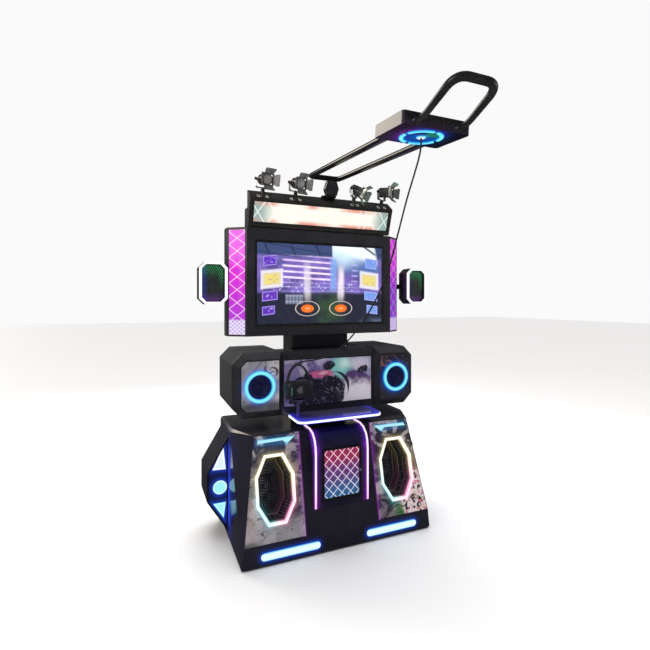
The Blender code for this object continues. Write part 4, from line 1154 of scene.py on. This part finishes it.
clad("monitor_cabinet", gloss_black("monitor_gloss", (), (0.046, 0.043, 0.050), 0.22), 0.0025)
repaint("display", screen_look())
bm = bmesh.new()
add_ring(bm, stations(rectangle(SCREEN_X, SCREEN_LOW, SCREEN_HIGH), (
    (0.0002, 0.3295), (0.0002, 0.3240), (-0.0020, 0.3236), (-0.0026, 0.3244), (-0.0026, 0.3248),
    (-0.0060, 0.3248), (-0.0060, 0.3222), (0.0050, 0.3222), (0.0080, 0.3255), (0.0080, 0.3295)), HERE))
to_object(bm, "screen_bezel", plain_look("bezel_black", (0.010, 0.010, 0.011), 0.30, 0.0, 0.4, 30, 0.2),
          angle=30)


def wing_look(side, name):
    """A white diamond lattice on a magenta and purple lit film, finer near the bottom."""
    look = Look(name, rough=0.2, coat=0.4)
    u = (look.x.abs() - 0.5788) * 1.22
    v = look.z - 1.290
    base = look.colour((0.45, 0.04, 0.60)).over((0.80, 0.035, 0.66), v.rise(0.10, 0.45))
    if side > 0:
        base = look.colour((0.20, 0.03, 0.50)).over((0.62, 0.05, 0.62), v.rise(0.25, 0.55))
    a, b = u / 0.112, v / 0.082
    cross = (a + b + 0.5).to_whole().least((a - b + 0.5).to_whole())
    line = cross.rise(0.040, 0.018)
    cells = cross.rise(0.10, 0.40)
    base = base.over((0.42, 0.03, 0.66), cells * 0.4)
    base = base.over((0.98, 0.86, 1.0), line * (0.9 if side < 0 else 0.45))
    fine = (u / 0.03 + v / 0.024).to_whole().least((u / 0.03 - v / 0.024).to_whole()).rise(0.12, 0.05)
    foot = v.rise(0.105, 0.085)
    base = base.over((0.50, 0.42, 0.78), foot * (0.9 if side < 0 else 0.35),
                     (1.0, 0.98, 1.0), foot * fine)
    rim = (u.abs() - 0.0535).rise(0.0, 0.002).most((v - 0.3350).abs().rise(0.3310, 0.3330))
    look.base(look.colour((0.03, 0.01, 0.03)).over((0.30, 0.28, 0.28), rim))
    look.glow(base * (1.0 - rim), 1.10)
    look.bump(rim, 0.001, 0.5)
    return look.made


for word, side in SIDES:
    repaint(word + "_wing_light", wing_look(side, word + "_wing_film"))
bm = bmesh.new()
add_louvres(bm, 11, 1.700, 0.016, 0, 0.16,
            ((0.5795, -0.005), (0.5805, 0.005), (0.5835, -0.001), (0.5830, -0.005)))
add_box(bm, (-0.11, 0.11), (0.5795, 0.5840), (1.42, 1.58), 0.0025)
for x in (-0.46, 0.46):
    for z in (1.31, 1.63, 1.945):
        add_screw(bm, at(x, 0.580, z), -FORWARD, 0.005, 1)
to_object(bm, "monitor_back_fittings", [SATIN, SCREW])

# ---------------------------------------------------------------- side lamps
LAMP_SIDE_X, LAMP_SIDE_Z = 0.736, 1.615
LAMP_OCTAGON = ((0.049, 0.130), (0.085, 0.094), (0.085, -0.094), (0.049, -0.130))


def mesh_look(side, name):
    """A dark woven mesh, lit green at the top, blue at the left and purple below."""
    look = Look(name, rough=0.5)
    u, v = look.x - side * LAMP_SIDE_X, look.z - LAMP_SIDE_Z
    a, b = (u * 0.866 + v * 0.5) / 0.0115, (u * 0.866 - v * 0.5) / 0.0115
    thread = a.to_whole().least(b.to_whole()).rise(0.24, 0.10)
    top = v.rise(0.02, 0.115) + u.rise(0.02, 0.07) * v.rise(-0.06, 0.06)
    glow = look.colour((0.02, 0.42, 0.12)) * top.clamp()
    glow = glow + look.colour((0.03, 0.08, 0.60)) * u.rise(-0.02, -0.07)
    glow = glow + look.colour((0.22, 0.04, 0.42)) * v.rise(-0.05, -0.115)
    look.base(look.colour((0.006, 0.008, 0.010)).over((0.05, 0.055, 0.06), thread))
    look.glow(glow * (thread * 0.36 + 0.05))
    look.bump(thread, 0.001, 0.6)
    return look.made


for word, side in SIDES:
    place = HERE @ Matrix.Translation((side * LAMP_SIDE_X, 0, LAMP_SIDE_Z))
    outline = list(LAMP_OCTAGON) + [(-x, z) for x, z in reversed(LAMP_OCTAGON)]
    bm = bmesh.new()
    add_cup(bm, outline, ((0.0215, 0.318), (0.0165, 0.296), (0.0, 0.296), (0.0, 0.398), (0.0015, 0.4010),
                          (0.0155, 0.4140), (0.0190, 0.4235), (0.0215, 0.4250)), place)
    for low in (-0.0265, 0.0185):
        add_box(bm, (-0.009, 0.009), (0.420, 0.470), (low, low + 0.008), 0.0012, place)
        add_lathe(bm, slug(0.0115, low, low + 0.008), (0, 0.470, 0), "Z", 28, matrix=place)
    for z in (-0.030, 0.030):
        add_lathe(bm, slug(0.0065, z - 0.004, z + 0.004), (0, 0.470, 0), "Z", 6, matrix=place)
    shell = gloss_black(word + "_lamp_shell", (), (0.016, 0.016, 0.018), 0.2)
    to_object(bm, word + "_lamp_housing", [shell, mesh_look(side, word + "_lamp_mesh")], word + "_lamp",
              word + "_side_lamp", 30)
    bm = bmesh.new()
    add_ring(bm, stations(outline, (
        (0.0003, 0.2955), (0.0003, 0.2850), (0.0022, 0.2830), (0.0135, 0.2830), (0.0158, 0.2850),
        (0.0158, 0.2955)), place))
    look = Look(word + "_lamp_diffuser", rough=0.3)
    v = look.z - LAMP_SIDE_Z
    beads = (v / 0.0125).to_whole().rise(0.1, 0.5) * 0.14
    tint = look.colour((0.80, 0.90, 1.0)).over((0.72, 1.0, 0.78), v.rise(0.02, 0.12))
    tint = tint.over((0.86, 0.78, 1.0), v.rise(-0.03, -0.12))
    look.base((0.08, 0.08, 0.08))
    edge = beads * 2.0 + look.y.rise(0.284, 0.292) * 0.8
    look.glow(look.colour((1.0, 1.0, 1.0)).over(tint * 0.8, edge), 1.1)
    to_object(bm, word + "_lamp_ring", look.made, word + "_lamp", angle=60)
    clad(word + "_lamp_arm", TUBE, 0.0015)

# ---------------------------------------------------------------- marquee
clad("marquee_box", gloss_black("marquee_gloss", (), (0.040, 0.038, 0.034), 0.20), 0.0022)


def sign_look():
    """White light with a crossing lattice at its teal ends and warm tints along its edges."""
    look = Look("sign_diffuser", rough=0.25)
    u, v = look.x, (look.z - 2.070) / 0.066
    ends = u.abs().rise(0.33, 0.46)
    cross = (u / 0.115 + v * 0.42).to_whole().least((u / 0.115 - v * 0.42).to_whole())
    cross = cross.rise(0.050, 0.015)
    blush = look.noise(6.5, 1.0, 0.0, (1.0, 1.0, 0.5)).rise(0.38, 0.62) * v.abs().rise(0.36, 0.85)
    base = look.colour((1.0, 0.965, 0.84)).over((0.20, 0.36, 0.34), ends * 0.9)
    base = base.over((0.80, 0.25, 0.17), (blush * (1.0 - ends * 0.4)).clamp() * 0.9)
    tubes = (v - 0.45).abs().least((v + 0.45).abs()).rise(0.30, 0.0) * u.abs().rise(0.42, 0.30) * 0.45
    base = base.over((1.0, 0.99, 0.95), (cross * u.abs().rise(0.14, 0.30) * 0.9 + tubes).clamp())
    look.base((0.06, 0.06, 0.06))
    look.glow(base * look.normal.dot((0.0, -1.0, 0.0)).rise(0.3, 0.6), 1.0)
    return look.made


repaint("marquee_panel", sign_look())
bm = bmesh.new()
add_ring(bm, stations(rectangle(0.4905, 0.0255, 0.1615), (
    (0.0, -0.0008), (0.0, 0.0012), (0.0050, 0.0012), (0.0056, 0.0002), (0.0050, -0.0022),
    (-0.0030, -0.0022), (-0.0036, -0.0008)), SIGN))
to_object(bm, "sign_trim", SATIN, angle=30)
roof = math.atan2(0.056, 0.069)
bm = bmesh.new()
for x in (-0.459, -0.405, -0.240, -0.184, 0.197, 0.239, 0.405, 0.454):
    tab = HERE @ Matrix.Translation((x, STAGE_Y, 2.1656)) @ turned(x=roof)
    add_box(bm, (-0.010, 0.010), (-0.014, 0.013), (-0.0002, 0.0035), 0.0008, tab)
    add_screw(bm, tab @ Vector((0, -0.004, 0.003)), tab.to_3x3() @ UP, 0.0034, 1)
to_object(bm, "lamp_foot_tabs", [PALE_METAL_AND_GLINT, SCREW])

# ---------------------------------------------------------------- stage lamps
LAMP_X = (-0.432, -0.212, 0.212, 0.432)
LAMP_PAN = (12, 12, 45, 30)
LAMP_DIP = (12, 15, 28, 8)
LAMP_TINT = ((0.62, 0.60, 0.56), (0.62, 0.64, 0.66), (0.50, 0.95, 0.60), (0.90, 1.0, 0.92))
LAMP_FRONT = -0.078


def lens_look(name, colour):
    look = Look(name, rough=0.08, coat=0.5)
    grain = look.noise(160, 2.0)
    look.base(tuple(0.30 * c for c in colour))
    look.glow(look.colour(colour).over(tuple(0.35 * c for c in colour), grain.rise(0.40, 0.62)), 0.14)
    look.bump(grain, 0.001, 0.4)
    return look.made


def make_leaf(bm, turn, matrix, material):
    """One barn door: a tapered sheet with folded edges, hung on a small barrel."""
    root, tip, thick = 0.0375, 0.0655, 0.0011
    stations = []
    for i in range(6):
        t = i / 5
        half = 0.0270 + 0.0130 * min(1.0, t * 1.05) - (0.0050 if i == 5 else 0.0)
        stations.append((half, LAMP_FRONT + 0.001 - 0.0325 * t, root + (tip - root) * t ** 1.15))
    spin = matrix @ turned(y=turn * math.pi / 2)
    loops = []
    for half, y, z in stations:
        outline = [(-half, z - 0.003), (-half * 0.94, z), (half * 0.94, z), (half, z - 0.003),
                   (half - 0.001, z - 0.0036), (half * 0.93, z - thick), (-half * 0.93, z - thick),
                   (-half + 0.001, z - 0.0036)]
        loops.append([spin @ Vector((x, y, zz)) for x, zz in outline])
    add_loft(bm, loops, material=material)
    add_lathe(bm, slug(0.0022, -0.020, 0.020), (0, LAMP_FRONT + 0.002, root - 0.0005), "X", 10, matrix=spin)


# The lamp can: a domed back, seven cooling fins and a hollow front.
CAN = [(0, 0.0225), (0.0100, 0.0225), (0.0180, 0.0215), (0.0240, 0.0195), (0.0300, 0.0140),
       (0.0335, 0.0085)]
for i in range(7):
    y = 0.0070 - 0.0062 * i
    CAN += [(0.0345, y), (0.0345, y - 0.0022), (0.0318, y - 0.0028), (0.0318, y - 0.0056)]
CAN += [(0.0345, -0.0375), (0.0345, -0.0700), (0.0315, -0.0705), (0.0308, -0.0640), (0.0306, -0.0600),
        (0, -0.0600)]
for number, (x, pan, dip, tint) in enumerate(zip(LAMP_X, LAMP_PAN, LAMP_DIP, LAMP_TINT), start=1):
    yoke = HERE @ Matrix.Translation((x, STAGE_Y, STAGE_Z)) @ turned(z=math.radians(pan))
    head = yoke @ turned(x=math.radians(dip))
    body = "lamp_%d" % number
    bm = bmesh.new()
    add_lathe(bm, CAN, count=44, matrix=head)
    add_ring(bm, stations(rectangle(0.039, -0.039, 0.039), (
        (0.0, LAMP_FRONT + 0.008), (0.0, LAMP_FRONT + 0.0008), (0.0008, LAMP_FRONT), (0.0085, LAMP_FRONT),
        (0.0090, LAMP_FRONT + 0.008)), head))
    for turn in range(4):
        make_leaf(bm, turn, head, 1)
    for side in (-1, 1):
        add_lathe(bm, slug(0.006, 0.030, 0.0425), axis="X", count=16,
                  matrix=head @ Matrix.Diagonal((side, 1, 1, 1)))
    add_box(bm, (-0.010, 0.010), (0.0200, 0.0250), (-0.008, 0.008), 0.002, head)
    leaf = LEAF
    if number > 2:
        look = Look("lit_leaf_%d" % number, rough=0.34, metal=0.7)
        look.worn((0.36, 0.37, 0.34), 0.3, 0.34, 0.1, 26)
        high, least = (1.0, 0.05) if number == 4 else (0.6, 0.25)
        lit = ((look.z - STAGE_Z) * high).rise(0.015, 0.06) + least
        look.glow(look.colour((0.08, 0.40, 0.20)) * lit * 0.30)
        leaf = look.made
    to_object(bm, "stage_lamp_%d_head" % number, [GUNMETAL, leaf], body, "stage_lamp_%d" % number,
              32)
    bm = bmesh.new()
    add_lathe(bm, ((0, -0.0640), (0.0306, -0.0640), (0.0306, -0.0665), (0.0255, -0.0690),
                   (0.0170, -0.0712), (0.0085, -0.0724), (0, -0.0728)), matrix=head)
    to_object(bm, "stage_lamp_%d_lens" % number, lens_look("lens_%d" % number, tint), body)
    bm = bmesh.new()
    bend = rounded_path([(-0.04525, 0, 0.010), (-0.04525, 0, -0.054), (0.04525, 0, -0.054),
                         (0.04525, 0, 0.010)], (0.009, 0.009), 6)
    add_strip(bm, [(p.x, p.z) for p in bend], 0.0030, (-0.009, 0.009), yoke)
    for radius, low, count in ((0.0095, -0.0590, 6), (0.0085, -0.0590, 24), (0.0070, -0.0525, 6)):
        add_lathe(bm, slug(radius, low, low + 0.0035), axis="Z", count=count, matrix=yoke)
    for side in (-1, 1):
        add_lathe(bm, ((0, 0.0465), (0.0085, 0.0465), (0.0095, 0.0480), (0.0095, 0.0530), (0.0080, 0.0545),
                       (0, 0.0545)), axis="X", count=14, material=1,
                  matrix=yoke @ Matrix.Diagonal((side, 1, 1, 1)))
    to_object(bm, "stage_lamp_%d_bracket" % number, [STEEL if number != 2 else GUNMETAL, MATT],
              "yoke_%d" % number, "stage_lamp_%d_yoke" % number, 32)

# ---------------------------------------------------------------- boom
bracket = Look("post_paint", rough=0.30, coat=0.3)
bracket.worn((0.016, 0.016, 0.018), 0.5, 0.28, 0.12, 20)
clad("boom_bracket", bracket.made, 0.0025)
bm = bmesh.new()
for x in (-0.002, 0.087):
    add_screw(bm, at(x, 0.340, 2.221), UP, 0.0055)
to_object(bm, "post_bolts", SCREW)

REACH = -0.9695
bm = bmesh.new()
tube_path = rounded_path([(-0.103, REACH, 0), (-0.103, 0, 0), (0.103, 0, 0), (0.103, REACH, 0)],
                         (0.035, 0.035), 10)
add_tube(bm, [BOOM @ p for p in tube_path], 0.0175)
to_object(bm, "boom_tubes", TUBE, replaces="boom_frame", angle=45)

BOX_END = -1.199
BOX_MIDDLE = (BOX_END - 0.970) / 2
ARC_RADIUS, ARC_HALF = 0.088, math.radians(37)


def on_boom(look):
    """Across, along and above the boom's own frame, measured from the overhead box's middle."""
    y, z, cosine, sine = look.y - BOOM_Y, look.z - BOOM_Z, math.cos(BOOM_RISE), math.sin(BOOM_RISE)
    return look.x, y * cosine + z * sine - BOX_MIDDLE, z * cosine - y * sine


def winder_look():
    """Gloss black with a painted faint violet glow towards its lit underside."""
    look = Look("winder_shell", specular=0.42)
    look.worn((0.013, 0.013, 0.014), 0.5, 0.18, 0.08, 6)
    height = on_boom(look)[2]
    look.glow(look.colour((0.011, 0.004, 0.016)) * (height.rise(0.02, -0.02) * look.y.rise(-0.70, -0.86)))
    return look.made


def underside_look():
    """Light from the ring spreads over the black underside: violet, blue and green."""
    look = Look("winder_underside", specular=0.10)
    look.worn((0.004, 0.004, 0.006), 0.5, 0.45, 0.08, 6)
    dx, dy, _ = on_boom(look)
    radius = far(dx, dy)
    turn = dy.math("ARCTAN2", dx)
    inside = look.colour((0.0, 0.045, 0.36)).over((0.012, 0.20, 0.10), (turn + 1.05).abs().rise(0.75, 0.45))
    inside = inside.over((0.004, 0.018, 0.16), (turn + 2.2).abs().rise(0.45, 0.30)) * 0.85
    shine = radius.fade(0.016) + (0.078 - radius).fade(0.004) * 0.5
    inside = inside + look.colour((0.0, 0.30, 0.70)) * shine
    tint = look.colour((0.02, 0.02, 0.34)).over((0.13, 0.015, 0.22), dx.rise(-0.03, -0.13))
    tint = tint.over((0.0, 0.02, 0.10), dx.rise(0.03, 0.12))
    outside = tint * (radius - 0.098).fade(0.024)
    look.glow(outside.over((0, 0, 0), radius.rise(0.0885, 0.0880)) + inside * radius.rise(0.0885, 0.0880))
    return look.made


def arc_amount(look):
    """The edges of the lit arcs, with beads behind them."""
    dx, dy, _ = on_boom(look)
    beads = (dy.math("ARCTAN2", dx) / (2 * math.pi) * 56.0).to_whole().rise(0.1, 0.5) * 0.2
    return ((far(dx, dy) - ARC_RADIUS).abs().rise(0.004, 0.0105) * 0.8 + beads).clamp()


def hub_amount(look):
    return far(*on_boom(look)[:2]).rise(0.010, 0.021)


clad("winder_box", winder_look(), 0.0028, under=underside_look())
bm = bmesh.new()
for quarter in range(4):
    middle = math.radians(45 + 90 * quarter + 10)
    loops = []
    for i in range(19):
        t = middle - ARC_HALF + 2 * ARC_HALF * i / 18
        trim = 0.003 if i in (0, 18) else 0.0
        loops.append([BOOM @ Vector((r * math.cos(t), BOX_MIDDLE + r * math.sin(t), z)) for r, z in
                      ((0.078 + trim, -0.0211), (0.078 + trim, -0.0236), (0.0805, -0.0255), (0.0955, -0.0255),
                       (0.098 - trim, -0.0236), (0.098 - trim, -0.0211))])
    add_loft(bm, loops)
to_object(bm, "ring_arcs", diffuser("arc_diffuser", (0.02, 0.05, 0.06), (0.16, 0.80, 0.95),
                                    (0.0, 0.25, 0.80), arc_amount, 1.3),
          replaces="ring_light", angle=50)
bm = bmesh.new()
add_loft(bm, [[BOOM @ Vector((a, BOX_MIDDLE + b, z)) for a, b in circle(r, 40)] for r, z in
              ((0.0088, -0.0206), (0.0215, -0.0206), (0.0215, -0.0222), (0.0200, -0.0240), (0.0160, -0.0256),
               (0.0100, -0.0262), (0.0088, -0.0256), (0.0088, -0.0206))], cap=False)
bmesh.ops.remove_doubles(bm, verts=bm.verts, dist=1e-7)
to_object(bm, "hub_lens", diffuser("hub_diffuser", (0.06, 0.07, 0.08), (1.0, 1.0, 1.0),
                                   (0.10, 0.55, 0.95), hub_amount, 1.1), angle=50)
bm = bmesh.new()
along_boom = BOOM.to_3x3()
for x in (-0.0792, 0.0792):
    add_screw(bm, BOOM @ Vector((x, BOX_END, 0.010)), along_boom @ FORWARD, 0.0038)
for x in (-0.155, 0.155):
    for y in (-1.180, -0.990):
        add_screw(bm, BOOM @ Vector((x, y, 0.036)), along_boom @ UP)
        add_screw(bm, BOOM @ Vector((x, y, -0.0205)), along_boom @ -UP)
to_object(bm, "winder_screws", SCREW)

bm = bmesh.new()
corners = [(-0.108, -1.1995, -0.001), (-0.108, -1.245, -0.001), (-0.101, -1.425, 0.098),
           (0.101, -1.425, 0.098), (0.108, -1.245, -0.001), (0.108, -1.1995, -0.001)]
grip = rounded_path(corners, (0.044, 0.062, 0.062, 0.044), 12)
rise = [max(0.0, (p.z + 0.001) / 0.099) for p in grip]
add_tube(bm, [BOOM @ p for p in grip], 0.012, [1.14 + 0.32 * r ** 1.5 for r in rise])
for x in (-0.108, 0.108):
    add_lathe(bm, ((0, -1.1992), (0.0190, -1.1992), (0.0195, -1.2000), (0.0180, -1.2030),
                   (0.0150, -1.2070), (0.0132, -1.2130), (0.0122, -1.2210), (0.0116, -1.2240),
                   (0, -1.2240)), (x, 0, -0.001), count=36, matrix=BOOM)
to_object(bm, "boom_handle", HANDLE, replaces="handle", angle=45)

# ---------------------------------------------------------------- surroundings
def studio():
    bm = bmesh.new()
    bmesh.ops.create_grid(bm, x_segments=2, y_segments=2, size=30)
    mesh = bpy.data.meshes.new("floor")
    bm.to_mesh(mesh)
    bm.free()
    look = Look("pale_floor", rough=0.55)
    look.base(look.colour((0.84, 0.84, 0.84)).over((0.86, 0.86, 0.86), look.noise(0.8, 2.0)))
    mesh.materials.append(look.made)
    floor = bpy.data.objects.new("floor", mesh)
    floor.location.z = -0.0002
    floor.visible_glossy = False
    scene.collection.objects.link(floor)
    world = bpy.data.worlds.new("studio")
    world.use_nodes = True
    scene.world = world
    tree = world.node_tree
    direction = Colour(tree, tree.nodes.new("ShaderNodeTexCoord").outputs["Generated"])

    def patch(towards, low, high):
        return direction.dot(tuple(Vector(towards).normalized())).rise(low, high)

    node = tree.nodes.new("ShaderNodeRGB")
    node.outputs[0].default_value = (0.040, 0.040, 0.050, 1.0)
    around = Colour(tree, node.outputs[0]).over((0.12, 0.12, 0.12), patch((-0.15, 0.96, 0.22), 0.80, 0.97))
    around = around.over((6.5, 5.9, 5.1), patch((-0.50, 0.76, 0.41), 0.955, 0.985))
    around = around.over((0.16, 0.15, 0.14), patch((-0.95, -0.1, 0.25), 0.75, 0.95))
    seen = Value(tree, tree.nodes.new("ShaderNodeLightPath").outputs["Is Camera Ray"])
    tree.links.new(around.over((0.955, 0.955, 0.955), seen).socket, tree.nodes["Background"].inputs["Color"])


studio()
sun = bpy.data.lights.new("overhead", "SUN")
sun.energy, sun.angle = 3.1, math.radians(60)
overhead = bpy.data.objects.new("overhead", sun)
overhead.rotation_euler = (math.radians(-12), math.radians(8), 0)
overhead.visible_glossy = False
scene.collection.objects.link(overhead)
